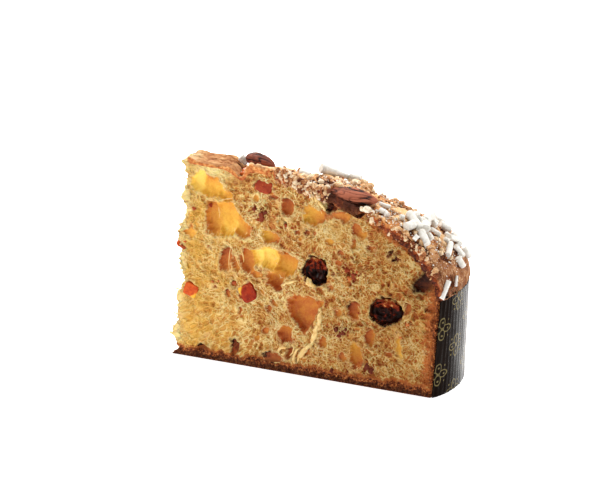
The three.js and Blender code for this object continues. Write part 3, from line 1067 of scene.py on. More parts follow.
@dataclass
class CutFace:
    """The relief and colours of one cut face: foam with webs, air holes, browned edges and stains, with
    painted light and shade.
    """

    hollows: tuple[Hollow, ...]
    dark: tuple[Stain, ...]
    red: tuple[Stain, ...]
    seed: int
    coarse_cell: float = 3.4
    bubble_cell: float = 5.6
    bubble_limit: float = 0.70
    strand_slope: float = math.radians(34.0)
    strand_middle: tuple[float, float] = (30.0, 16.0)
    strand_stretch: float = 0.58
    merge: float = 1.6
    foam_depth: float = 1.35
    skin_depth: float = 0.5
    swell_depth: float = 0.6
    lip_rise: float = 0.25

    def flow(self, x: Array, z: Array) -> tuple[Array, Array]:
        """Where the foam's cells are drawn from: the face, bent a little and drawn out into strands.

        At the lower left the cells are stretched along the strands' slope.

        Args:
            x: Distance along the cut.
            z: Height.

        Returns:
            Across and up in the cells' own plane.
        """
        flat = np.stack([x, np.full_like(x, 11.3 * self.seed), z], axis=1)
        across = x + 1.1 * noise(flat, 7.0, self.seed + 5) + 0.5 * noise(flat, 2.4, self.seed + 6)
        up = z + 1.1 * noise(flat, 7.0, self.seed + 7) + 0.5 * noise(flat, 2.4, self.seed + 8)
        share = smoothstep(70.0 - x, 0.0, 30.0) * smoothstep(44.0 - z, 0.0, 26.0)
        a, (middle_x, middle_z) = self.strand_slope, self.strand_middle
        run = (x - middle_x) * math.cos(a) + (z - middle_z) * math.sin(a)
        pull = self.strand_stretch * share * run
        return across - pull * math.cos(a), up - pull * math.sin(a)

    def pits(self, x: Array, z: Array) -> tuple[Array, Array, Array, Array]:
        """Every air hole as one field.

        Args:
            x: Distance along the cut.
            z: Height.

        Returns:
            Distance inside the nearest outline in mm, below 0 outside; depth in mm; tone; glow.
        """
        flat = np.stack([x, np.full_like(x, 7.7 * self.seed), z], axis=1)
        bent_x, bent_z = (
            start + 1.2 * noise(flat, 6.5, self.seed + i) + 1.1 * noise(flat, 2.5, self.seed + 50 + i)
            + 0.6 * noise(flat, 1.1, self.seed + 60 + i)
            for i, start in ((1, x), (2, z))
        )
        pull, tone_sum = np.zeros_like(x), np.zeros_like(x)
        bowl, glow = np.zeros_like(x), np.zeros_like(x)
        for hollow in self.hollows:
            small = min(hollow.half_width, hollow.half_height)
            reach = hollow.reach(bent_x, bent_z)
            inside = (1.0 - reach) * small
            wall = min(max(0.35 * small, 0.6), 1.8)
            steep, bowed = smoothstep(inside, -0.2, wall), np.clip(1.0 - reach, 0, 1)
            deep = hollow.depth * (0.75 * steep + 0.25 * bowed)
            share = np.exp(self.merge * np.clip(inside, -6.0, 6.0))
            pull += share
            # tone carries the painted light and shade of each hole's inside, glow its painted light as if
            # lit through from behind
            tone_sum += share * hollow.shade(x, z)
            glow = np.maximum(glow, hollow.glow * smoothstep(inside, -0.5, 1.6 * wall))
            bowl = np.maximum(bowl, deep)
        gap = np.log(pull) / self.merge
        tone = tone_sum / pull
        across, up = self.flow(x, z)
        spots = Cells.grow(np.stack([across, flat[:, 1], up], axis=1), self.bubble_cell, self.seed + 40)
        draws = [np.modf(spots.chance * stir)[0] for stir in (17.3, 31.7, 7.1)]
        size = 0.9 + 1.3 * draws[0] ** 2
        small_gap = size - spots.nearest * self.bubble_cell * (0.75 + 0.5 * draws[1])
        small_gap = np.where((spots.chance > self.bubble_limit) & (gap < -1.4), small_gap, -9.0)
        first = (small_gap > gap) & (small_gap > -0.6)
        tone = np.where(first, 0.40 + 0.42 * draws[2], tone)
        gap = np.maximum(gap, small_gap)
        bowl = np.maximum(bowl, 1.5 * smoothstep(small_gap, -0.2, 1.0))
        return np.clip(gap, -6.0, 6.0), bowl, tone, glow

    def values(self, x: Array, z: Array, room: Array) -> dict[str, Array]:
        """Relief and colour values of the face.

        Args:
            x: Distance along the cut.
            z: Height.
            room: Thickness of the slice there.

        Returns:
            Depth in mm, and the values that the finish reads.
        """
        flat = np.stack([x, np.full_like(x, 7.7 * self.seed), z], axis=1)
        gap, bowl, tone, glow = self.pits(x, z)
        inside = smoothstep(gap, -0.1, 0.6)
        across, up = self.flow(x, z)
        cells = Cells.grow(np.stack([across, flat[:, 1], up], axis=1), self.coarse_cell, self.seed + 20)
        foam = smoothstep(cells.wall, 0.0, 0.45) * (0.25 + 0.75 * cells.chance)
        # a patch under the crust at the upper left, which shares the tip's painted light and pale fringe
        under_crust = bell(np.hypot((x - 25.0) / 2.8, z - 98.6), 4.6)
        smooth_zone = np.maximum(bell(np.hypot((x - 90.0) / 1.5, z - 76.0), 8.0), under_crust)
        open_zone = 0.55 + 0.45 * smoothstep(noise(flat, 13.0, self.seed + 9), -0.5, 0.3)
        foam = foam * (1.0 - inside) * (1.0 - 0.8 * smooth_zone) * open_zone
        swell = 0.7 * layered_noise(flat, 15.0, self.seed + 12, 2)
        swell = swell + 0.3 * noise(flat, 4.6, self.seed + 14)
        fringe = 0.24 * noise(flat, 1.0, self.seed + 15) * (1.0 - 0.8 * inside)
        lip = bell(gap + 0.5, 0.5)
        depth = np.maximum(bowl, 0.0) + self.foam_depth * foam + self.skin_depth
        depth = depth + swell * self.swell_depth + fringe - self.lip_rise * lip
        uneven = 1.6 * noise(flat, 4.0, self.seed + 16) + 1.0 * noise(flat, 1.5, self.seed + 17)
        floor = 1.0 - smoothstep(z + 0.8 * uneven, 1.6, 7.5)
        rim = 1.0 - smoothstep(WEDGE.rim_centre[0] + 46.6 - x + uneven + 0.05 * z, 0.0, 12.0)
        roof = WEDGE.top_height(x, np.zeros_like(x), np.zeros_like(x)) - z
        roof = (1.0 - smoothstep(roof + 0.7 * uneven, 4.0, 11.0)) * smoothstep(x, 96.0, 128.0)
        bent_x, bent_z = x + 0.8 * uneven, z + 0.6 * uneven
        # painted light: paler and more golden towards the tip, as if lit through from behind
        lit_side = 1.0 - smoothstep(x + 2.0 * uneven + 0.12 * (z - 50.0), 2.0, 58.0)
        # the torn tip: paler as frayed fluff and as painted light shining through it
        frayed_and_backlit = 1.0 - smoothstep(WEDGE.past_tip(x, z) + uneven, 0.0, 4.0)
        return {
            "depth": np.minimum(depth, 0.43 * room),
            "across": across,
            "up": up,
            "foam": foam,
            "gap": gap,
            "tone": np.clip(tone + 0.12 * noise(flat, 3.6, self.seed + 18), 0.0, 1.0),
            "glow": np.clip(glow * (0.8 + 0.5 * noise(flat, 4.2, self.seed + 19)), 0.0, 1.0),
            "toast": np.clip(np.max([floor, 0.74 * rim, 0.8 * roof], axis=0), 0.0, 1.0),
            # dark: the patches of painted shade
            "dark": np.max([s.cover(bent_x, bent_z) for s in self.dark], axis=0),
            "red": np.max([s.cover(bent_x, bent_z) for s in self.red], axis=0),
            "smooth": smooth_zone,
            "lit": np.maximum(lit_side, under_crust),
            "frayed_and_backlit": np.maximum(frayed_and_backlit, under_crust),
            # painted shade: the face greys from the middle towards the rim
            "painted_rim_shade": smoothstep(x, 50.0, 128.0),
        }


@dataclass(frozen=True)
class CrumbFinish(Finish):
    """Buttery foam: pale webs, golden cells, amber to brown holes and browned edges, with painted shade,
    painted light and a painted glow.
    """

    name: str = "buttery_crumb"
    # glow: strength of the painted light that the glow value's emission gives
    gloss: Gloss = Gloss(0.62, 0.12, subsurface=0.25, scatter=(1.0, 0.5, 0.16), scatter_mm=1.6, glow=0.17)
    cell_sizes: tuple[float, float] = (2.3, 1.25)

    def foam(self, graph: Graph, flow: Field, size: float) -> tuple[Field, Field]:
        """Cells of one size: how sunk each point is, from 0 on a wall, and how near it is to a wall.

        Args:
            graph: The graph that the nodes go into.
            flow: Where the cells are drawn from.
            size: Size of a cell in mm.

        Returns:
            Both values, from 0 to 1.
        """
        inputs = {"Vector": flow, "Scale": 1.0 / size}
        wall = graph.out("ShaderNodeTexVoronoi", "Distance", inputs, feature="DISTANCE_TO_EDGE")
        own = graph.out("ShaderNodeTexVoronoi", "Color", inputs, feature="F1")
        chance = graph.out("ShaderNodeSeparateColor", 0, {0: own})
        sunk = graph.rise(wall, 0.02, 0.26) * (chance * 0.8 + 0.2)
        return sunk, 1.0 - graph.rise(wall, 0.03, 0.16)

    def foam_colour(self, graph: Graph, level: Field, patch: Field) -> Field:
        """Cream webs to amber cells, golden towards the tip as painted light, greyer towards the rim as
        painted shade.

        Args:
            graph: The graph that the nodes go into.
            level: How deep in the foam each point is.
            patch: Broad noise.

        Returns:
            The colour.
        """
        lit = graph.value("lit")
        # cream webs to dark amber deep in the cells: partly the crumb's colour, partly painted shade in
        # the cells
        base = graph.ramp(
            level, (0.0, srgb(238, 216, 156)), (0.16, srgb(220, 180, 106)), (0.34, srgb(200, 140, 70)),
            (0.56, srgb(186, 106, 50)), (0.8, srgb(160, 76, 36)), (1.0, srgb(126, 52, 27)),
        )
        # painted light of the tip: a golden screen and golden patches
        shine = graph.mix(0.7, base, srgb(236, 184, 78), "SCREEN")
        base = graph.mix(lit * 0.3, base, shine)
        golden = lit * graph.rise(patch, 0.42, 0.62)
        base = graph.mix(golden * 0.5, base, srgb(228, 178, 72))
        # pale torn fringe: partly frayed fluff, partly painted light
        base = graph.mix(graph.value("frayed_and_backlit") * 0.6, base, srgb(248, 230, 164))
        # painted shade towards the rim
        greyed = graph.mix(1.0, base, srgb(214, 198, 180), "MULTIPLY")
        return graph.mix(graph.value("painted_rim_shade") * 0.8, base, greyed)

    def hole_colour(self, graph: Graph, flow: Field, ragged: Field, shift: Field) -> Field:
        """The insides of the air holes, from yellow by tan to dark brown: painted light and shade.

        Args:
            graph: The graph that the nodes go into.
            flow: Where the cells are drawn from.
            ragged: Distance inside the torn outline in mm.
            shift: How much darker each point is.

        Returns:
            The colour.
        """
        film = graph.noise(flow, 1.6, detail=3.0)
        shift = shift + (film * 0.16 - 0.22)
        # painted shade along the holes' walls
        wall = (1.0 - graph.rise(ragged, 0.1, 1.3)) * 0.1
        tone = graph.clip(graph.value("tone") + (shift + wall))
        inner = graph.ramp(
            tone, (0.0, srgb(244, 212, 112)), (0.22, srgb(226, 176, 72)), (0.46, srgb(208, 140, 58)),
            (0.68, srgb(190, 106, 50)), (0.86, srgb(158, 76, 40)), (1.0, srgb(48, 17, 8)),
        )
        # painted shade towards the rim
        greyed = graph.mix(1.0, inner, srgb(220, 206, 196), "MULTIPLY")
        return graph.mix(graph.value("painted_rim_shade") * 0.6, inner, greyed)

    def browned(self, graph: Graph, place: Field, colour: Field) -> Field:
        """The baked rim and floor: tan, then speckled brown, then nearly black at the very floor.

        Args:
            graph: The graph that the nodes go into.
            place: Where the surface is, in mm.
            colour: The colour underneath.

        Returns:
            The colour.
        """
        toast = graph.value("toast")
        speck = graph.noise(place, 1.0, detail=3.0, rough=0.65)
        scorched = (speck * 1.5 + (toast - 0.75)) * graph.rise(toast, 0.02, 0.3)
        crust = graph.ramp(
            speck, (0.34, srgb(58, 26, 14)), (0.47, srgb(104, 50, 26)), (0.56, srgb(172, 92, 46)),
            (0.68, srgb(226, 158, 92)),
        )
        colour = graph.mix(graph.rise(scorched, 0.02, 0.42), colour, srgb(178, 100, 48))
        colour = graph.mix(graph.rise(toast, 0.38, 0.72), colour, crust)
        low = graph.rise(toast, 0.9, 1.0) * 0.7
        return graph.mix(low, colour, srgb(62, 28, 15))

    def nodes(self, graph: Graph) -> dict:
        """Colour by foam depth, then the insides of holes, toast, stains, painted shade and the tip's
        painted light.

        Args:
            graph: The graph that the nodes go into.

        Returns:
            The shader's varying inputs by name.
        """
        place = graph.place()
        joined = {0: graph.value("across"), 1: graph.value("layer"), 2: graph.value("up")}
        flow = graph.warp(graph.out("ShaderNodeCombineXYZ", 0, joined), 2.4, 1.1)
        flow = graph.warp(flow, 0.8, 0.35)
        wide, _ = self.foam(graph, flow, self.cell_sizes[0])
        small, small_web = self.foam(graph, flow, self.cell_sizes[1])
        mottle = graph.noise(place, 3.4, detail=5.0, rough=0.6)
        patch = graph.noise(place, 9.0, detail=3.0)
        fuzz = graph.noise(flow, 1.5, detail=6.0, rough=0.75)
        ridge = abs(graph.noise(flow, 2.2, detail=4.0, rough=0.65) - 0.5)
        ridge = 1.0 - graph.rise(ridge, 0.0, 0.05)
        calm = 1.0 - graph.value("smooth") * 0.7
        # how deep each point lies in the foam, which the colour darkens as painted shade
        sunk = wide * 0.3 + small * 0.4
        sunk = graph.value("foam") * 0.32 + sunk * calm
        web = graph.math("MAXIMUM", small_web * 0.8, ridge * 0.35)
        web = web * (calm * graph.rise(mottle, 0.3, 0.6))
        level = sunk + (fuzz * 0.7 - 0.24)
        level = level + (patch * 0.9 - 0.45)
        level = graph.clip(level - web * 0.18)
        # the tip's painted light lifts and evens the foam's level
        soft = 1.0 - graph.value("lit") * 0.4
        level = level * soft + graph.value("lit") * 0.13
        base = self.foam_colour(graph, level, patch)
        torn = graph.noise(flow, 1.1, detail=4.0, rough=0.6)
        ragged = graph.value("gap") + (torn * 2.2 - 1.1)
        ragged = ragged - web * 0.35
        inside = graph.rise(ragged, -0.6, 0.5)
        edge = abs(ragged + 0.35)
        lip = 1.0 - graph.rise(edge, 0.1, 0.8)
        lip = lip * graph.rise(graph.noise(place, 4.0), 0.25, 0.6)
        inner = self.hole_colour(graph, flow, ragged, mottle * 0.24 - ridge * 0.1)
        colour = graph.mix(inside, base, inner)
        # a pale line round each hole's rim: partly the thin crumb wall, partly painted highlight
        pale = graph.mix(graph.value("painted_rim_shade"), srgb(246, 224, 158), srgb(222, 190, 122))
        colour = graph.mix(lip * 0.4, colour, pale)
        colour = self.browned(graph, place, colour)
        red = graph.value("red") * graph.rise(mottle, 0.3, 0.55)
        red = red * graph.rise(level, 0.12, 0.5)
        colour = graph.mix(red, colour, srgb(122, 42, 26))
        # painted shade: the dark patches, broken by mottle
        dark = graph.clip(graph.value("dark") * (mottle * 0.8 + 0.5))
        colour = graph.mix(dark, colour, srgb(38, 12, 4))
        # painted light: holes glow yellow as if lit through from behind
        glow = graph.mix(graph.value("glow"), (0, 0, 0, 1), srgb(240, 170, 40))
        height = small * -0.4 - wide * 0.7
        height = height + (web * 0.4 - fuzz * 1.2)
        height = height * (1.0 - inside)
        return {
            "Base Color": colour,
            "Roughness": 0.7 - inside * 0.14,
            "Emission Color": glow,
            "Normal": graph.bump(mottle * 0.4 + height, 0.9, 0.9),
        }


@dataclass
class CrumbBody:
    """The cake under the glaze, as one closed surface: two foamy cuts, torn tip, baked floor and rim."""

    stations: int = 300
    front_rows: int = 210
    rear_rows: int = 92
    top_steps: int = 10
    floor_steps: int = 10
    tip_rings: int = 6
    rim_rings: tuple[float, ...] = (0.75, 0.4, 0.03)
    skin: float = 0.8
    lip: float = 2.4
    ragged: float = 1.3

    def ring(self) -> tuple[Array, Array, Array]:
        """The ring round one station: across and up for each point, and which side it is on.

        Returns:
            The three arrays.
        """
        front = np.arange(self.front_rows) / self.front_rows
        top = np.arange(self.top_steps) / self.top_steps
        rear = 1.0 - np.arange(self.rear_rows) / self.rear_rows
        floor = 1.0 - np.arange(self.floor_steps) / self.floor_steps
        across = np.concatenate([np.zeros_like(front), top, np.ones_like(rear), floor])
        up = np.concatenate([front, np.ones_like(top), rear, np.zeros_like(floor)])
        counts = (self.front_rows, self.top_steps, self.rear_rows, self.floor_steps)
        return across, up, np.repeat(list(Side), counts)

    def build(self) -> Surface:
        """Lay rings from the tip to the rim, then sink the relief into every side.

        A ring's points follow the cut planes, the crust less its glaze, and the floor. At both ends
        the ring narrows towards its middle line and is zipped shut.

        Returns:
            The surface with the values of its finish.
        """
        across, up, side = self.ring()
        narrow = np.linspace(0.04, 0.86, self.tip_rings)
        squeeze = np.concatenate([narrow, np.ones(self.stations), self.rim_rings])
        between = np.linspace(0, 1, self.stations)
        along = np.concatenate([np.zeros_like(narrow), between, np.ones(len(self.rim_rings))])
        a = 0.5 + (across[None, :] - 0.5) * squeeze[:, None]
        s = np.repeat(along[:, None], len(across), axis=1)
        summit = WEDGE.plan_point(s, a, np.full_like(s, WEDGE.crest), self.lip)
        top = WEDGE.top_height(summit[..., 0], summit[..., 1], a) - self.skin
        top = top - WEDGE.bed_depth(summit[..., 0], summit[..., 1])
        z = up[None, :] * top
        plan = WEDGE.plan_point(s, a, z, self.lip)
        base = np.concatenate([plan, z[..., None]], axis=-1)
        return self.sculpt(base, side, squeeze)

    def dress(self, base: Array, side: Array) -> dict[str, Array]:
        """Relief and colour values of the whole ring tube.

        Args:
            base: Ring points before the relief, shape (stations, ring, 3).
            side: The side that each ring point is on.

        Returns:
            Depth in mm, and the values that the finish reads.
        """
        x, y, z = np.moveaxis(base, -1, 0)
        rear_run = x / math.cos(WEDGE.angle)
        room = WEDGE.tip_thickness + x * math.tan(WEDGE.angle)
        front = CutFace(FRONT_HOLLOWS, FRONT_SHADE, FRONT_RED, seed=3)
        rear = CutFace(REAR_HOLLOWS, REAR_SHADE, REAR_RED, seed=4)
        names = (
            "depth", "across", "up", "foam", "gap", "tone", "glow",
            "toast", "dark", "red", "smooth", "lit", "painted_rim_shade", "frayed_and_backlit",
        )
        values = {name: np.zeros(x.shape) for name in names}
        values |= {"across": x.copy(), "up": z.copy(), "gap": np.full(x.shape, -6.0)}
        for face, run, part in ((front, x, Side.FRONT), (rear, rear_run, Side.REAR)):
            columns = np.flatnonzero(side == part)
            columns = np.append(columns, columns[-1] + 1) if part == Side.FRONT else columns
            found = face.values(*(grid[:, columns].ravel() for grid in (run, z, room)))
            for name in names:
                values[name][:, columns] = found[name].reshape(-1, len(columns))
        baked = (side == Side.TOP) | (side == Side.FLOOR)
        values["toast"][:, baked] = 1.0
        values["depth"][:, baked] = 0.0
        # the top side near the tip: no toast, and the tip's painted light and pale fringe
        bare = (side == Side.TOP) * (1.0 - smoothstep(WEDGE.past_tip(x, z), 3.0, 5.0))
        values["toast"] = values["toast"] * (1.0 - bare)
        for name in ("lit", "frayed_and_backlit"):
            values[name] = np.maximum(values[name], bare)
        values["layer"] = y.copy()
        return values

    def sculpt(self, base: Array, side: Array, squeeze: Array) -> Surface:
        """Sink the relief of both cuts and the tip into the rings.

        Args:
            base: Ring points before the relief, shape (stations, ring, 3).
            side: The side that each ring point is on.
            squeeze: How wide each ring is, 1 in the body.

        Returns:
            The closed surface.
        """
        values = self.dress(base, side)
        x, _, z = np.moveaxis(base, -1, 0)
        points = base.copy()
        body = (squeeze >= 1.0)[:, None]
        hem = smoothstep(z, 0.0, 1.6)
        in_front = (side == Side.FRONT) * values["depth"] * hem
        in_rear = (side == Side.REAR) * values["depth"] * hem
        points[..., 1] += in_front * body
        points[..., 0] += in_rear * math.sin(WEDGE.angle) * body
        points[..., 1] -= in_rear * math.cos(WEDGE.angle) * body
        torn = Cells.grow(base, 2.3, 71)
        tear = noise(base, 3.4, 72) + 0.9 * noise(base, 1.3, 73) + 0.9 * smoothstep(torn.wall, 0.0, 0.5)
        edge = self.ragged * bell(WEDGE.past_tip(x, z), 4.0) * hem
        points[..., 0] += edge * (tear - 0.5) * (1.0 - 0.85 * (1.0 - squeeze[:, None]))
        points[..., 2] += 0.25 * (side == Side.FLOOR) * np.clip(layered_noise(base, 2.2, 74, 2), 0, 1)
        quads, triangles = ring_tube(points, self.front_rows)
        flat = {name: value.ravel() for name, value in values.items() if name != "depth"}
        return Surface(points.reshape(-1, 3), quads, triangles, flat).outward()

    def make(self) -> bpy.types.Object:
        """Put the crumb in place of its solid."""
        return make_piece("crumb_body", self.build(), CrumbFinish(), "crumb", "crumb")


# ---------------------------------------------------------------- glaze


@dataclass(frozen=True)
class Dent:
    """A hollow baked into the glaze: its place and half sizes along the crust, and its depth, in mm."""

    arc: float
    depth_in: float
    half_length: float
    half_width: float
    depth: float


# each row: arc, depth in, half length, half width, depth
GLAZE_DENTS = rows_of(Dent, (
    (138.4, 1.2, 2.6, 2, 2.6), (142.6, 2.8, 2.4, 2, 2.2), (147.4, 12.2, 4.8, 3, 3.8),
    (152.8, 24, 3.2, 2.4, 2.8), (161.2, 10, 4.4, 3, 3), (163, 4.4, 3.4, 2.4, 1.6),
    (162.6, 14.6, 3.4, 1.5, 1.6), (136, 19.6, 1.8, 1.4, 1.2), (110, 24, 4, 3, 1.6),
    (140, 30, 3.4, 2.6, 1.8), (168, 28, 3, 2.2, 2), (74, 14, 3, 3.4, 1.4),
))


class GlazeForm:
    """The outside of the glaze, by arc length from the tip over the dome and by depth into the slice."""

    samples = 2400
    crowding = 2.4
    overhang = -0.9
    hem_gap = 1.4

    def __init__(self) -> None:
        """Measure the dome's length down its middle, so that stations can stand at even steps."""
        t = np.linspace(0.0, 1.0, self.samples)
        self.alongs = 1.0 - (1.0 - t) ** self.crowding
        middle = self._point(self.alongs, np.full_like(t, 0.5))
        steps = np.linalg.norm(np.diff(middle, axis=0), axis=1)
        self.arcs = np.concatenate([[0.0], np.cumsum(steps)])
        self.length = float(self.arcs[-1]) - self.hem_gap

    def _point(self, along: Array, across: Array) -> Array:
        """A point of the crust by shares along and across.

        Args:
            along: 0 at the tip and 1 at the rim.
            across: 0 at the front cut and 1 at the rear cut.

        Returns:
            Points, shape (..., 3).
        """
        high = np.full_like(along, WEDGE.crest)
        summit = WEDGE.plan_point(along, across, high, self.overhang, self.overhang)
        z = WEDGE.top_height(summit[..., 0], summit[..., 1], across)
        plan = WEDGE.plan_point(along, across, z, self.overhang, self.overhang)
        return np.concatenate([plan, z[..., None]], axis=-1)

    def point(self, arc: Array, across: Array) -> Array:
        """A point of the crust, arc mm from the tip."""
        return self._point(np.interp(arc, self.arcs, self.alongs), across)

    def normal(self, arc: Array, across: Array) -> Array:
        """The crust's outward direction, level or upright in the plane that runs out from the tip.

        Args:
            arc: Distance from the tip over the dome.
            across: 0 at the front cut and 1 at the rear cut.

        Returns:
            Unit vectors, shape (..., 3).
        """
        step = 0.8
        low, high = np.clip(arc - step, 0, self.length), np.clip(arc + step, 0, self.length)
        run = self.point(high, across) - self.point(low, across)
        outward = self.point(arc, across)[..., :2]
        outward = outward / np.linalg.norm(outward, axis=-1, keepdims=True)
        level = (run[..., :2] * outward).sum(axis=-1)
        up = np.stack([-run[..., 2] * outward[..., 0], -run[..., 2] * outward[..., 1], level], axis=-1)
        return up / np.linalg.norm(up, axis=-1, keepdims=True)

    def across_at(self, arc: Array, depth_in: Array) -> Array:
        """The share across that lies so many mm behind the front cut."""
        front = self.point(arc, np.zeros_like(arc))
        rear = self.point(arc, np.ones_like(arc))
        return np.clip(depth_in / np.linalg.norm(rear - front, axis=-1), 0.0, 1.0)


@dataclass(frozen=True)
class GlazeFinish(Finish):
    """Baked almond glaze: matt tan skin with cracks and sugar dust, ochre bulge, rust-brown break, and
    painted shade in its low parts, its hollows and under the almond.
    """

    name: str = "almond_glaze"
    gloss: Gloss = Gloss(0.82, 0.22, subsurface=0.1, scatter=(1.0, 0.6, 0.35), scatter_mm=0.8)

    def nodes(self, graph: Graph) -> dict:
        """Colour by relief as painted shade, cracks, bulge and break, then dust on top, and painted shade
        in the hollows and under the almond.

        Args:
            graph: The graph that the nodes go into.

        Returns:
            The shader's varying inputs by name.
        """
        place = graph.place()
        grain = SharedNodes.grain(graph, place, 2.4)
        mottle = graph.noise(place, 5.0, detail=6.0, rough=0.7)
        # painted shade: darker where the relief is low, paler on its tops
        level = graph.value("high") * 0.6 + mottle * 0.75
        level = graph.clip(level + (grain * 0.5 - 0.42))
        tan = graph.ramp(
            level, (0.0, srgb(160, 84, 42)), (0.2, srgb(204, 140, 84)), (0.42, srgb(224, 174, 120)),
            (0.75, srgb(236, 200, 152)), (1.0, srgb(246, 222, 186)),
        )
        bulge = graph.ramp(
            level, (0.0, srgb(88, 46, 22)), (0.35, srgb(130, 78, 42)), (0.7, srgb(164, 112, 68)),
            (1.0, srgb(198, 150, 102)),
        )
        drip = graph.noise(graph.place((1.0, 1.0, 0.14)), 1.3, detail=3.0)
        vein = 1.0 - graph.rise(abs(drip - 0.5), 0.0, 0.035)
        bulge = graph.mix(vein * graph.rise(mottle, 0.35, 0.6), bulge, srgb(216, 178, 136))
        colour = graph.mix(graph.value("bulge"), tan, bulge)
        band = graph.ramp(
            graph.value("high") * 0.5 + (mottle * 0.9 - 0.2), (0.25, srgb(142, 82, 42)),
            (0.42, srgb(184, 128, 80)), (0.6, srgb(202, 154, 104)), (0.8, srgb(220, 184, 138)),
        )
        colour = graph.mix(graph.value("band"), colour, band)
        colour = graph.mix(graph.value("crack"), colour, srgb(128, 70, 36))
        dust_amount = graph.value("dusty") * 0.34 + 0.12
        dust = SharedNodes.dust(graph, place, dust_amount)
        shown = dust * graph.clip(1.0 - graph.value("cut"))
        colour = graph.mix(shown * 0.8, colour, srgb(250, 240, 224))
        grit = graph.noise(place, 1.5, detail=4.0, rough=0.7)
        deep = graph.clip(graph.value("deep") + (grit * 1.6 - 0.85))
        rust = graph.ramp(
            deep, (0.0, srgb(232, 180, 116)), (0.25, srgb(212, 140, 76)), (0.5, srgb(176, 88, 42)),
            (0.75, srgb(120, 52, 26)), (1.0, srgb(66, 28, 15)),
        )
        colour = graph.mix(graph.value("cut"), colour, rust)
        # painted shade in the glaze's hollows and under the almond
        colour = graph.mix(graph.value("painted_hollow_shade"), colour, srgb(60, 28, 14))
        height = grain + mottle * 0.6
        return {"Base Color": colour, "Normal": graph.bump(height, 0.7, 0.8)}


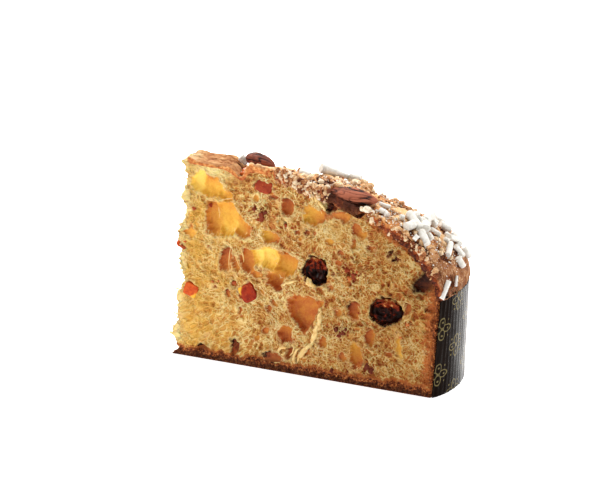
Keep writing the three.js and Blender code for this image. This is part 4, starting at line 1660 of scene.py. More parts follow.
@dataclass
class GlazeCrust:
    """The glaze as a closed shell: cracked and granular outside, broken edge at both cuts, rough hem."""

    form: GlazeForm = field(default_factory=GlazeForm)
    stations: int = 330
    outer_steps: int = 150
    wall_steps: int = 14
    inner_steps: int = 24
    thickness: float = 2.8
    thinnest: float = 0.5
    bare_tip: float = 3.0
    hem_drop: float = 0.3
    # where along the front cut the glaze lies in painted shadow under the almond
    almond_shadow_along: tuple[float, float, float, float] = (84.0, 88.0, 104.0, 108.0)
    ledge_along: tuple[float, float, float, float] = (42.5, 46.0, 57.0, 60.0)
    ledge_height: float = 1.5
    # places along the front cut and the glaze's thickness there, in mm
    front_edge: tuple[tuple[float, float], ...] = (
        (0, 1.8), (27, 1.9), (36, 2.6), (40, 1.6), (45, 2.8), (52, 2.6), (58, 3.6), (63, 5.8), (69, 4.6),
        (74, 3.2), (80, 4.4), (84, 3.0), (88, 1.5), (104, 1.5), (108, 2.6), (112, 2.4), (117, 4.2),
        (123, 4.8), (129, 5.0), (136, 5.4), (142, 5.0), (147, 3.0),
    )
    # places along the front cut and how browned the glaze's broken edge is there
    browning: tuple[tuple[float, float], ...] = (
        (0, 0.1), (12, 0.4), (34, 0.4), (42, 0.5), (54, 0.3), (62, 0.6), (72, 0.5), (82, 0.8), (90, 0.95),
        (102, 0.8), (110, 0.45), (118, 0.7), (128, 0.85), (140, 0.95),
    )

    def heights(self, points: Array, arc: Array, inward: Array) -> dict[str, Array]:
        """Relief of the skin and its colour values.

        Broad lumps, plates that end in steps, granules, cracks where two large cells meet, fine
        upright wrinkles on the bulge, and baked hollows.

        Args:
            points: Points of the skin before the relief, shape (stations, ring, 3).
            arc: Distance from the tip over the dome.
            inward: Distance behind the front cut.

        Returns:
            Relief in mm and the values of the finish.
        """
        bulge = smoothstep(arc, self.form.length - 30.0, self.form.length - 14.0)
        band = 1.0 - smoothstep(arc + 2.0 * noise(points, 5.0, 201), 34.0, 42.0)
        bent = points + 1.6 * shifts(points, 4.0, 202)
        plates = Cells.grow(bent, 11.0, 210)
        scales = Cells.grow(bent, 4.6, 220)
        crack = 1.0 - smoothstep(plates.wall, 0.01, 0.10)
        split = (1.0 - smoothstep(scales.wall, 0.0, 0.10)) * (0.35 + 0.4 * noise(points, 9.0, 231))
        lumps = layered_noise(points, 9.0, 240, 3)
        step = smoothstep(layered_noise(points, 7.0, 250, 2), -0.02, 0.10)
        grains = Cells.grow(points, 1.5, 260)
        grain = (0.5 - grains.nearest) * smoothstep(grains.chance, 0.35, 0.9)
        rough = (1.0 - 0.75 * band) * (1.0 - 0.55 * bulge)
        drawn = points * np.array([1.0, 1.0, 0.16])
        wrinkle = layered_noise(drawn, 1.5, 270, 2) * bulge
        relief = 0.55 * lumps * (1.0 - 0.4 * band) + 0.9 * (step - 0.5) * rough + 0.55 * grain * rough
        relief = relief - 0.9 * crack * rough - 0.35 * np.clip(split, 0, 1) * (1.0 - 0.6 * bulge)
        relief = relief + 0.42 * wrinkle
        fold = layered_noise(points * np.array([1.0, 1.8, 1.0]), 5.0, 280, 3)
        relief = relief + (0.75 * fold - 0.5 * np.clip(1.0 - 7.0 * np.abs(fold), 0.0, 1.0)) * band
        # painted shade: darker in the middles of the baked hollows
        painted_hollow_shade = np.zeros_like(arc)
        for dent in GLAZE_DENTS:
            along, into = (arc - dent.arc) / dent.half_length, (inward - dent.depth_in) / dent.half_width
            gap = np.hypot(along, into) + 0.22 * lumps
            painted_hollow_shade = np.maximum(painted_hollow_shade, 1.0 - smoothstep(gap, 0.45, 1.0))
            relief = relief - dent.depth * (1.0 - smoothstep(gap, 0.3, 1.1))
        x, y = points[..., 0], points[..., 1]
        # painted shadow under the almond at the front cut
        almond_shadow = plateau(x, *self.almond_shadow_along)
        almond_shadow = almond_shadow * bell(inward, 3.5) * (0.55 + 0.45 * smoothstep(lumps, -0.2, 0.2))
        painted_hollow_shade = np.maximum(painted_hollow_shade, almond_shadow)
        relief = relief + 1.4 * (1.0 - smoothstep(arc, 3.0, 10.0))
        relief = relief + self.ledge_height * plateau(x, *self.ledge_along) * bell(inward, 9.0)
        bed = WEDGE.bed_depth(x, y)
        relief = relief * (1.0 - 0.5 * bed / WEDGE.almond_bed) - bed
        dusty = bell(arc - 86.0, 16.0) + 0.4 * bell(arc - 120.0, 18.0)
        return {
            "relief": relief,
            # high: the relief's height, which the finish turns into painted shade
            "high": np.clip(0.5 + 0.55 * relief, 0.0, 1.0),
            "crack": np.clip(crack * rough + 0.5 * np.clip(split, 0, 1), 0.0, 1.0) * 0.8,
            "bulge": bulge,
            "band": band,
            "dusty": dusty * (1.0 - band),
            "painted_hollow_shade": painted_hollow_shade * 0.85,
            "bed": bed / WEDGE.almond_bed,
        }

    def at_stations(self, table: tuple[tuple[float, float], ...], stations: Array) -> Array:
        """What a table of places along the front cut gives at each station."""
        places, amounts = zip(*table)
        return np.interp(self.form.point(stations, 0 * stations)[:, 0], places, amounts)[:, None]

    def depths(
        self, base: Array, arc: Array, edge: Array, front: Array
    ) -> Array:
        """Thickness of the shell: as listed at the cuts, crumbling there, thin at the hem and the tip.

        Args:
            base: Points of the skin before the relief.
            arc: Distance from the tip over the dome.
            edge: Distance from the nearer cut.
            front: Thickness at the front cut.

        Returns:
            Thickness in mm.
        """
        hem = smoothstep(self.form.length - arc, 0.0, 2.6)
        thick = self.thickness + (front - self.thickness) * bell(edge, 4.0)
        crumbling = 0.3 + 0.9 * bell(edge, 5.0) * smoothstep(arc, 44.0, 58.0)
        thick = self.thinnest + (thick - self.thinnest) * hem
        thick = thick + crumbling * layered_noise(base, 2.2, 301, 3) * hem
        toe = smoothstep(arc, self.bare_tip, self.bare_tip + 1.5)
        return np.maximum(thick, self.thinnest) * (0.35 + 0.65 * toe)

    def build(self) -> Surface:
        """Lay rings over the dome: the skin, the rear break, the underside and the front break.

        Returns:
            The closed surface with the values of its finish.
        """
        form = self.form
        stations = np.linspace(self.bare_tip, form.length, self.stations)
        outer = (np.arange(self.outer_steps) / self.outer_steps) ** 1.15
        wall = np.arange(self.wall_steps) / self.wall_steps
        inner = 1.0 - np.arange(self.inner_steps) / self.inner_steps
        across = np.concatenate([outer, np.ones_like(wall), inner, np.zeros_like(wall)])
        deep = np.concatenate([np.zeros_like(outer), wall, np.ones_like(inner), 1.0 - wall])
        counts = (self.outer_steps, self.wall_steps, self.inner_steps, self.wall_steps)
        on_break = np.repeat([False, True, False, True], counts)
        arc = np.repeat(stations[:, None], len(across), axis=1)
        share = np.repeat(across[None, :], len(stations), axis=0)
        base, normal = form.point(arc, share), form.normal(arc, share)
        rear, front = form.point(stations, np.ones_like(stations)), form.point(stations, 0 * stations)
        width = np.linalg.norm(rear - front, axis=1)[:, None]
        found = self.heights(base, arc, share * width)
        edge = np.minimum(share, 1.0 - share) * width
        thick = self.depths(base, arc, edge, self.at_stations(self.front_edge, stations))
        rise = found["relief"] * np.clip(1.0 - deep[None, :], 0.0, 1.0)
        points = base + normal * (rise - thick * deep[None, :])[..., None]
        hem = smoothstep(form.length - arc, 0.0, 2.6)
        points[..., 2] -= self.hem_drop * (1.0 - hem) * (1.0 + 0.9 * noise(base, 4.0, 302))
        crumbly, chunky = Cells.grow(points, 1.7, 310), Cells.grow(points, 3.4, 313)
        broken = 0.9 * (0.6 - crumbly.nearest) + 1.5 * (0.55 - chunky.nearest) * (0.4 + chunky.chance)
        broken = broken + 0.6 * noise(points, 3.2, 311) + 0.4 * noise(points, 1.1, 312)
        broken = broken * (0.3 + 0.7 * smoothstep(arc, 40.0, 58.0))
        at_front, at_rear = bell(share * width, 0.5), bell((1.0 - share) * width, 0.5)
        points[..., 1] -= at_front * broken
        points[..., 0] -= at_rear * broken * math.sin(WEDGE.angle)
        points[..., 1] += at_rear * broken * math.cos(WEDGE.angle)
        cut = on_break * smoothstep(deep, 0.02, 0.2)
        found["cut"] = np.maximum(cut, 0.5 * np.maximum(at_front, at_rear) * (1.0 - found["band"]))
        found["cut"] = np.maximum(found["cut"], found["bed"])
        brown = self.at_stations(self.browning, stations)
        found["deep"] = np.clip(brown * (0.55 + 0.6 * deep) + 0.3 * (0.6 - crumbly.nearest), 0, 1)
        quads, triangles = ring_tube(points, self.outer_steps)
        values = {name: value.ravel() for name, value in found.items() if name != "relief"}
        return Surface(points.reshape(-1, 3), quads, triangles, values).outward()

    def make(self) -> bpy.types.Object:
        """Put the glaze over the crumb."""
        return make_piece("glaze_crust", self.build(), GlazeFinish(), "glaze")


# ---------------------------------------------------------------- paper


@dataclass(frozen=True)
class PaperFinish(Finish):
    """Dark glossy baking paper with thin gold flowers of four round petals and dots."""

    name: str = "printed_paper"
    gloss: Gloss = Gloss(0.28, 0.01, coat_roughness=0.22)
    column: float = 14.0
    row: float = 23.0
    petal_middle: float = 2.9
    petal_long: float = 2.5
    petal_wide: float = 1.75
    line: float = 0.28
    flat_mm: float = 100.0

    def distance(self, graph: Graph, x: Field, y: Field) -> Field:
        """Length of the vector x, y."""
        return graph.math("SQRT", x * x + y * y)

    def spot(self, graph: Graph, distance: Field, radius: float) -> Field:
        """A soft-edged disc round where a distance is nought."""
        return 1.0 - graph.rise(distance, 0.6 * radius, 1.2 * radius)

    def nodes(self, graph: Graph) -> dict:
        """Draw a staggered field of line flowers from the paper's own flat map.

        With along the larger and aside the smaller of the two distances from a flower's middle,
        one ellipse gives all four petals. Each holds a dot, and dots stand between them.

        Args:
            graph: The graph that the nodes go into.

        Returns:
            The shader's varying inputs by name.
        """
        flat = graph.out("ShaderNodeTexCoord", "UV")
        wobble = graph.out("ShaderNodeTexNoise", "Fac", {"Vector": graph.place(), "Scale": 0.6})
        run, rise = (graph.out("ShaderNodeSeparateXYZ", axis, {0: flat}) for axis in "XY")
        u = run * self.flat_mm + 4.4
        v = wobble * 0.5 + rise * self.flat_mm
        columns = u / self.column
        stagger = graph.math("MODULO", graph.math("FLOOR", columns), 2.0) * 0.5
        x = graph.math("FRACT", columns) * self.column - 0.5 * self.column
        x = abs(x * 0.84)
        rows = v / self.row + stagger
        y = abs(graph.math("FRACT", rows) * self.row - 0.5 * self.row)
        along = graph.math("MAXIMUM", x, y) - self.petal_middle
        aside = graph.math("MINIMUM", x, y)
        far = along / self.petal_long
        near = aside / self.petal_wide
        ellipse = (self.distance(graph, far, near) - 1.0) * 2.0
        petals = self.spot(graph, abs(ellipse), self.line)
        inner = self.spot(graph, self.distance(graph, along - 0.5, aside), 0.55)
        heart = self.spot(graph, self.distance(graph, x, y), 0.6)
        out_x, out_y = x - 3.9, y - 3.9
        dots = self.spot(graph, self.distance(graph, out_x, out_y), 0.5)
        gold = petals
        for spots in (heart, dots, inner):
            gold = graph.math("MAXIMUM", gold, spots)
        wear = graph.rise(graph.noise(graph.place(), 3.0, detail=4.0), 0.28, 0.6)
        gold = graph.clip(gold * (wear * 0.3 + 0.6))
        fibre = graph.noise(graph.place((1.0, 1.0, 0.05)), 0.7, detail=3.0)
        paper = graph.ramp(fibre, (0.3, srgb(12, 6, 4)), (0.7, srgb(28, 18, 12)))
        grease = graph.rise(graph.noise(graph.place(), 14.0, detail=3.0), 0.4, 0.7)
        waxed = graph.rise(wobble * 10.0 + u, 17.0, 42.0)
        return {
            "Base Color": graph.mix(gold, paper, srgb(118, 106, 70)),
            "Coat Weight": waxed * 0.8,
            "Roughness": grease * 0.08 + 0.2,
            "Normal": graph.bump(fibre, 0.5, 0.6),
        }


@dataclass
class PaperBand:
    """The fluted paper wall round the rim, a thin closed sheet."""

    flutes: int = 18
    steps_per_flute: int = 18
    rows: int = 64
    back_rows: int = 24
    thickness: float = 0.4
    flute_depth: float = 0.2
    crumple: float = 0.16

    def build(self) -> Surface:
        """Lay upright rings along the rim: up the outside and down the inside.

        A flute's groove is half its depth times one less the cosine of its turn.

        Returns:
            The closed sheet with its flat map.
        """
        across = np.linspace(0.0, 1.0, self.flutes * self.steps_per_flute + 1)
        outside = np.arange(self.rows) / self.rows
        inside = 1.0 - np.arange(self.back_rows) / self.back_rows
        up = np.concatenate([outside, inside])
        back = np.concatenate([np.zeros_like(outside), np.ones_like(inside)])
        share = np.repeat(across[:, None], len(up), axis=1)
        z = np.repeat(up[None, :], len(across), axis=0) * WEDGE.paper_height
        level = WEDGE.rim_point(share, z, np.zeros_like(z))
        rough = np.concatenate([level, z[..., None] * 0.25], axis=-1)
        sway = 0.22 * noise(rough, 5.0, 403)
        deep = self.flute_depth * (1.0 + 0.8 * noise(rough, 6.0, 405))
        groove = 0.5 * deep * (1.0 - np.cos(2.0 * math.pi * (self.flutes * share + sway)))
        uneven = self.crumple * layered_noise(rough, 2.4, 401, 2)
        inset = groove + self.thickness * back[None, :] + uneven
        plan = WEDGE.rim_point(share, z, inset)
        points = np.concatenate([plan, z[..., None]], axis=-1)
        quads, triangles = ring_tube(points, self.rows)
        lengths = np.linalg.norm(np.diff(level[:, 0], axis=0), axis=1)
        run = np.concatenate([[0.0], np.cumsum(lengths)])
        flat = np.stack([np.repeat(run[:, None], len(up), axis=1), z], axis=-1) / PaperFinish.flat_mm
        return Surface(points.reshape(-1, 3), quads, triangles, {}, flat.reshape(-1, 2)).outward()

    def make(self) -> bpy.types.Object:
        """Put the printed paper in place of its solid."""
        return make_piece("paper_wrap", self.build(), PaperFinish(), "paper", "paper_band")


# ---------------------------------------------------------------- nuts and fruit


@dataclass(frozen=True)
class AlmondFinish(Finish):
    """Roasted almond skin: pinkish brown with dark lengthwise wrinkles and a dusty underside; the
    wrinkles' dark is partly the skin's own and partly painted shade, most on the lower side.
    """

    name: str = "roasted_almond"
    gloss: Gloss = Gloss(0.6, 0.14)
    light: Colour = srgb(166, 94, 68)
    middle: Colour = srgb(122, 64, 44)
    dark: Colour = srgb(50, 23, 16)

    def nodes(self, graph: Graph) -> dict:
        """Colour by groove depth, partly painted shade, and mottling.

        Args:
            graph: The graph that the nodes go into.

        Returns:
            The shader's varying inputs by name.
        """
        place = graph.place()
        mottle = graph.noise(place, 1.8, detail=5.0, rough=0.65)
        grain = SharedNodes.grain(graph, place, 0.9)
        # darker in the grooves: partly the skin's colour, partly painted shade
        level = graph.clip(graph.value("groove") + (mottle * 0.7 - 0.4))
        stops = ((0.0, self.light), (0.32, self.middle), (0.66, self.dark), (0.9, srgb(24, 12, 9)))
        colour = graph.ramp(level, *stops)
        dust = SharedNodes.dust(graph, place, 0.3)
        colour = graph.mix(dust * graph.value("dusty"), colour, srgb(222, 188, 156))
        return {"Base Color": colour, "Normal": graph.bump(grain, 0.3, 0.6)}


@dataclass(frozen=True)
class Almond:
    """One almond lying in the glaze, in mm and degrees."""

    name: str
    node: str
    radii: tuple[float, float, float]
    yaw: float
    pitch: float
    seed: int
    finish: AlmondFinish = AlmondFinish()
    mesh: Globe = Globe(110, 120)
    point_share: float = 0.28
    grooves: float = 0.62

    def build(self) -> Surface:
        """A pointed egg with lengthwise wrinkles.

        Its radius is sin(angle) * (1 - share * sin(angle / 2)^4). Wrinkles are noise drawn out along
        its length and folded, deepest in its middle.

        Returns:
            The closed surface.
        """
        globe = self.mesh
        polar = math.pi * globe.u
        profile = np.sin(polar) * (1.0 - self.point_share * np.sin(polar / 2.0) ** 4)
        turn = 2.0 * math.pi * globe.v
        length, width, height = self.radii
        axis = np.stack([-np.cos(polar), 0.6 * np.cos(turn), 0.6 * np.sin(turn)], axis=1)
        bend = 0.25 * noise(axis, 0.8, self.seed)[:, None]

        def folds(draw: float, shift: object, size: float, seed: int, narrow: float) -> Array:
            """Folded noise drawn out along the almond, from 0 to 1."""
            drawn = axis * np.array([draw, 1.0, 1.0]) + shift
            return np.clip(1.0 - np.abs(noise(drawn, size, self.seed + seed)) * narrow, 0, 1)

        groove = folds(0.55, bend, 0.16, 1, 2.2) ** 2 * 0.5 + folds(0.4, bend, 0.34, 2, 2.6) ** 2 * 0.8
        groove = groove * np.sin(polar) ** 0.6
        # more grooves on the lower side, which the finish darkens as painted shade
        low_side = bell(np.sin(turn) + 0.42, 0.34) * np.sin(polar) ** 2
        groove = groove + 0.55 * low_side * folds(0.3, 0.0, 0.3, 4, 1.8)
        lumps = 0.05 * noise(axis, 0.5, self.seed + 3)
        size = profile * (1.0 + lumps) - self.grooves * groove / max(width, height) * np.sin(polar)
        y, z = width * size * np.cos(turn), height * size * np.sin(turn)
        points = np.stack([-length * np.cos(polar), y, z], axis=1)
        middle, _ = WEDGE.node_box(self.node)
        points = turned(points, self.yaw, self.pitch) + middle
        dusty = smoothstep(-np.sin(turn), 0.1, 0.8)
        return globe.surface(points, groove=np.clip(groove, 0, 1), dusty=dusty)

    def make(self) -> bpy.types.Object:
        """Put the almond in place of its solid."""
        return make_piece(self.name, self.build(), self.finish, "almond", self.node)


@dataclass(frozen=True)
class CherryFinish(Finish):
    """Dark candied cherry: near-black syrupy flesh with red-brown and golden patches, paler on top and
    darker in its creases as painted light and shade.
    """

    name: str = "dark_cherry"
    gloss: Gloss = Gloss(0.5, 0.02, coat=0.08, coat_roughness=0.08)

    def nodes(self, graph: Graph) -> dict:
        """Colour by wrinkle height and patches, with painted light on the top and painted shade in the
        creases.

        Args:
            graph: The graph that the nodes go into.

        Returns:
            The shader's varying inputs by name.
        """
        place = graph.place()
        mottle = graph.noise(place, 2.6, detail=5.0, rough=0.6)
        level = graph.value("fold") * 0.25 + (mottle * 2.0 - 0.95)
        # painted light: the top paler and redder, up to golden glints
        level = graph.value("upper") * 0.42 + level
        colour = graph.ramp(
            level, (0.0, srgb(12, 3, 1)), (0.32, srgb(40, 10, 4)), (0.5, srgb(104, 28, 12)),
            (0.74, srgb(146, 64, 28)), (1.0, srgb(222, 172, 104)),
        )
        return {"Base Color": colour, "Normal": graph.bump(graph.noise(place, 1.3, detail=3.0), 0.5, 0.7)}


@dataclass(frozen=True)
class Cherry:
    """One candied cherry cut open by the knife, in mm and degrees."""

    name: str
    node: str
    seed: int
    rear: bool = False
    mesh: Globe = Globe(90, 110)
    sink: float = 2.4
    wrinkle: float = 1.1

    def build(self) -> Surface:
        """A wrinkled ball sunk behind the cut.

        The ball fills its solid's box. Folded noise wrinkles it, and where the knife passed, its
        points lie behind the cut by a share of that noise.

        Returns:
            The closed surface.
        """
        globe = self.mesh
        middle, half = WEDGE.node_box(self.node)
        way = globe.directions()[:, [1, 0, 2]]
        rough = np.clip(1.0 - 2.4 * np.abs(layered_noise(way, 0.7, self.seed, 2)), 0, 1)
        fine = np.clip(1.0 - 2.2 * np.abs(noise(way, 0.3, self.seed + 1)), 0, 1)
        fold = 0.75 * rough + 0.25 * fine
        lumpy = 1.0 + 0.2 * layered_noise(way, 0.8, self.seed + 2, 2)
        points = middle + way * half * lumpy[:, None] * 0.98
        points = points - way * (self.wrinkle * (1.0 - fold))[:, None]
        start, inward = np.zeros(3), np.array([0.0, 1.0, 0.0])
        if self.rear:
            start = np.array([0.0, WEDGE.tip_thickness, 0.0])
            inward = np.array([math.sin(WEDGE.angle), -math.cos(WEDGE.angle), 0.0])
        behind = (points - start) @ inward
        bowl = 1.0 - np.clip((((points - middle) / half)[:, [0, 2]] ** 2).sum(axis=1), 0, 1)
        cave = self.sink * (0.25 + 0.75 * bowl) * (1.15 - fold) + 0.35
        points = points + np.maximum(0.0, cave - behind)[:, None] * inward
        # upper: painted light on the cherry's top, read by the finish
        height = (points - middle)[:, 2] / half[2] + 0.3 * noise(way, 0.6, self.seed + 3)
        upper = smoothstep(height, -0.1, 0.6)
        return globe.surface(points, fold=fold, upper=upper)

    def make(self) -> bpy.types.Object:
        """Put the cherry in place of its solid."""
        return make_piece(self.name, self.build(), CherryFinish(), "cherry", self.node)


@dataclass(frozen=True)
class PeelFinish(Finish):
    """Candied orange peel: clear red to orange flesh with a yellow strip of rind."""

    name: str = "candied_peel"
    gloss: Gloss = Gloss(0.45, 0.08, subsurface=0.12, scatter=(1.0, 0.3, 0.1), scatter_mm=0.8)
    flesh: Colour = srgb(206, 74, 30)
    shade: Colour = srgb(140, 30, 18)
    rind: Colour = srgb(238, 176, 60)

    def nodes(self, graph: Graph) -> dict:
        """Mix flesh, shade and the rind strip.

        Args:
            graph: The graph that the nodes go into.

        Returns:
            The shader's varying inputs by name.
        """
        place = graph.place()
        mottle = graph.noise(place, 2.4, detail=3.0)
        body = graph.mix(graph.rise(mottle, 0.3, 0.7), self.shade, self.flesh)
        specks = graph.rise(graph.noise(place, 0.8, detail=2.0), 0.62, 0.72)
        body = graph.mix(specks * 0.45, body, srgb(236, 150, 80))
        return {
            "Base Color": graph.mix(graph.value("rind"), body, self.rind),
            "Normal": graph.bump(graph.noise(place, 1.1, detail=3.0), 0.35, 0.5),
        }


@dataclass(frozen=True)
class Peel:
    """One cube of candied peel, in mm and degrees. Rind says on which edge the yellow strip lies."""

    name: str
    node: str
    turn: float
    seed: int
    finish: PeelFinish
    rind: float = 0.0
    mesh: Globe = Globe(48, 60)
    boxy: float = 0.45
    ragged: float = 0.10

    def build(self) -> Surface:
        """A rounded block: a ball whose directions are raised to a power, then roughened and turned.

        Returns:
            The closed surface.
        """
        globe = self.mesh
        middle, half = WEDGE.node_box(self.node)
        way = globe.directions()
        block = np.sign(way) * np.abs(way) ** self.boxy
        block = block / np.maximum(np.abs(block).max(axis=1, keepdims=True), 0.2) ** 0.35
        block = block * 0.9 * (1.0 + self.ragged * layered_noise(way, 0.7, self.seed, 2))[:, None]
        a = math.radians(self.turn)
        tilt_x = block[:, 0] * math.cos(a) - block[:, 2] * math.sin(a)
        tilt_z = block[:, 2] * math.cos(a) + block[:, 0] * math.sin(a)
        spread = max(np.abs(tilt_x).max(), np.abs(tilt_z).max())
        points = middle + half * np.stack([tilt_x / spread, block[:, 1], tilt_z / spread], axis=1)
        b = math.radians(self.rind)
        strip = block[:, 0] * math.cos(b) + block[:, 2] * math.sin(b)
        rind = smoothstep(strip, 0.62, 0.8) if self.rind else np.zeros(len(points))
        return globe.surface(points, rind=rind)

    def make(self) -> bpy.types.Object:
        """Put the peel in place of its solid."""
        return make_piece(self.name, self.build(), self.finish, "orange_peel", self.node)


# ---------------------------------------------------------------- sugar, crumbs and bits


@dataclass(frozen=True)
class SugarFinish(Finish):
    """Opaque white sugar with a faint cream tint."""

    name: str = "white_sugar"
    gloss: Gloss = Gloss(0.55, 0.35, subsurface=0.15, scatter=(1.0, 0.95, 0.9), scatter_mm=0.6)

    def nodes(self, graph: Graph) -> dict:
        """White, a little cream in places.

        Args:
            graph: The graph that the nodes go into.

        Returns:
            The shader's varying inputs by name.
        """
        place = graph.place()
        mottle = graph.noise(place, 1.6, detail=4.0)
        colour = graph.ramp(mottle, (0.3, srgb(212, 206, 194)), (0.6, srgb(232, 230, 224)))
        return {"Base Color": colour, "Normal": graph.bump(graph.noise(place, 0.5, detail=3.0), 0.2, 0.5)}


@dataclass(frozen=True)
class Stick:
    """One sugar stick, in mm: its ends on the crust as arc, depth in and lift, its width and taper."""

    start: tuple[float, float, float]
    end: tuple[float, float, float]
    width: float = 3.2
    taper: float = 0.0


# each row: start, end, width, taper
STICKS = rows_of(Stick, (
    # the long tapered one on the slab and its neighbour
    ((74, 17, 3.6), (84.6, 27.6, 2), 4.5, 0.45), ((85.4, 27.4, 2.6), (91.6, 27.6, 3), 3),
    # beside the almond
    ((108.6, 10.6, 0.7), (113.6, 12.8, 0.8), 2.2), ((112.2, 5.4, 0.7), (115, 5, 1), 2.6),
    ((114.6, 5.6, 0.8), (117.2, 4.4, 0.7), 2.4),
    # the cluster on the shoulder
    ((122.6, 14.3, 2.8), (132.6, 9.3, 1.9), 3.8), ((123, 14.6, 1.6), (124.6, 22, 1.7), 3.4),
    ((121.4, 8.9, 1), (122.8, 10.3, 1.1), 2.7), ((128.8, 3.2, 1.6), (129.2, 9, 2.2), 3.9),
    ((129.4, 19.7, 2.4), (130.6, 26.6, 4.4), 3.9), ((127.8, 16.2, 1.9), (131.8, 20.6, 1.8), 3.8),
    ((132, 26.7, 1.4), (135.2, 26.3, 1.3), 2.7), ((134.2, 10.2, 3.2), (131.4, 15.6, 2.6), 4),
    ((134.4, 18, 1.6), (138.8, 21.4, 1), 2), ((133.8, 7.5, 2.2), (140.6, 3.7, 1.9), 3.3),
    ((136, 11.9, 1.4), (139.2, 10.9, 1.2), 2.7), ((134.8, 1.4, 1.5), (136.8, 1.6, 1.4), 2.8),
    # the group at the right
    ((142.4, 24.7, 2.2), (147.2, 33, 2), 2.5), ((140.4, 27.5, 1.2), (142.8, 26.7, 1.5), 2.3),
    ((141.6, 21.5, 1), (144, 23.1, 1.1), 2.1), ((145.2, 21.7, 2.1), (149, 14.2, 0.7), 2.6),
    ((147.6, 25.1, 1.5), (153.8, 29.4, 0.8), 2.3),
    # in the hollows at the paper's mouth
    ((159.4, 5.6, 0.7), (165, 0, 0), 2.3), ((159.4, 14.6, 0.2), (163.4, 11.8, 0.2), 1.2),
    # the rear half, which the photograph doesn't show
    ((127.6, 31, 1.3), (134.6, 28.6, 1.4), 3.4), ((136, 33, 1.3), (141.6, 36.6, 1.3), 3.3),
    ((144, 36, 1.3), (149, 31.4, 1.4), 3.2), ((133, 38.6, 1.2), (138.4, 41.4, 1.2), 3),
    ((151.6, 36.6, 1.2), (157.4, 38.4, 1), 3.3), ((152.4, 21, 1.1), (157.4, 22.6, 0.9), 3),
    ((92, 36, 1), (98.4, 35, 1), 3.2), ((63, 11.4, 0.6), (68.4, 12.6, 0.6), 2.8),
    ((24.2, 12.6, 2.6), (27.8, 14, 2.6), 3.6),
))


@dataclass
class SugarSticks:
    """All sugar sticks, joined."""

    form: GlazeForm
    sticks: tuple[Stick, ...] = STICKS
    mesh: Globe = Globe(22, 18)
    rib_pitch: float = 1.1
    rib_depth: float = 0.05
    plump: float = 1.12

    def build(self) -> Surface:
        """Lay each stick between its two ends.

        A stick is a round bar with blunt broken ends, ribbed by a cosine along it and dented by
        noise. It may taper towards its far end.

        Returns:
            The closed surface.
        """
        globe = self.mesh
        ends = []
        for part in (np.array([s.start for s in self.sticks]), np.array([s.end for s in self.sticks])):
            across = self.form.across_at(part[:, 0], part[:, 1])
            up = self.form.normal(part[:, 0], across)
            ends.append(self.form.point(part[:, 0], across) + up * part[:, 2:])
        middle = (ends[0] + ends[1]) / 2.0
        length = np.linalg.norm(ends[1] - ends[0], axis=1)[:, None]
        axes = frames_from(up, ends[1] - ends[0])
        run = np.clip((globe.u - 0.14) / 0.72, 0.0, 1.0)
        end = np.clip(np.minimum(globe.u, 1.0 - globe.u) / 0.14, 0.0, 1.0)
        body = np.sin(0.5 * math.pi * np.clip(end, 0.0, 1.0)) ** 0.6
        width = np.array([s.width for s in self.sticks])[:, None]
        taper = np.array([s.taper for s in self.sticks])[:, None]
        ribs = 1.0 - self.rib_depth * (1.0 + np.cos(2.0 * math.pi * run[None] * length / self.rib_pitch))
        radius = 0.5 * self.plump * width * body * ribs * (1.0 - taper * run[None])
        angle = 2.0 * math.pi * globe.v[None]
        centred = (run[None] - 0.5) * length
        local = np.stack([centred, radius * np.cos(angle), radius * np.sin(angle)], axis=-1)
        points = np.einsum("sij,spj->spi", axes, local) + middle[:, None, :]
        dent = 0.2 * layered_noise(points, 1.8, 501, 2)
        spine = middle[:, None, :] + axes[:, None, :, 0] * local[..., :1]
        outward = points - spine
        outward = outward / (np.linalg.norm(outward, axis=-1, keepdims=True) + 1e-6)
        return globe.scatter(points + outward * dent[..., None])

    def make(self) -> bpy.types.Object:
        """Put the sticks on the glaze."""
        return make_piece("sugar_sticks", self.build(), SugarFinish(), "sugar")


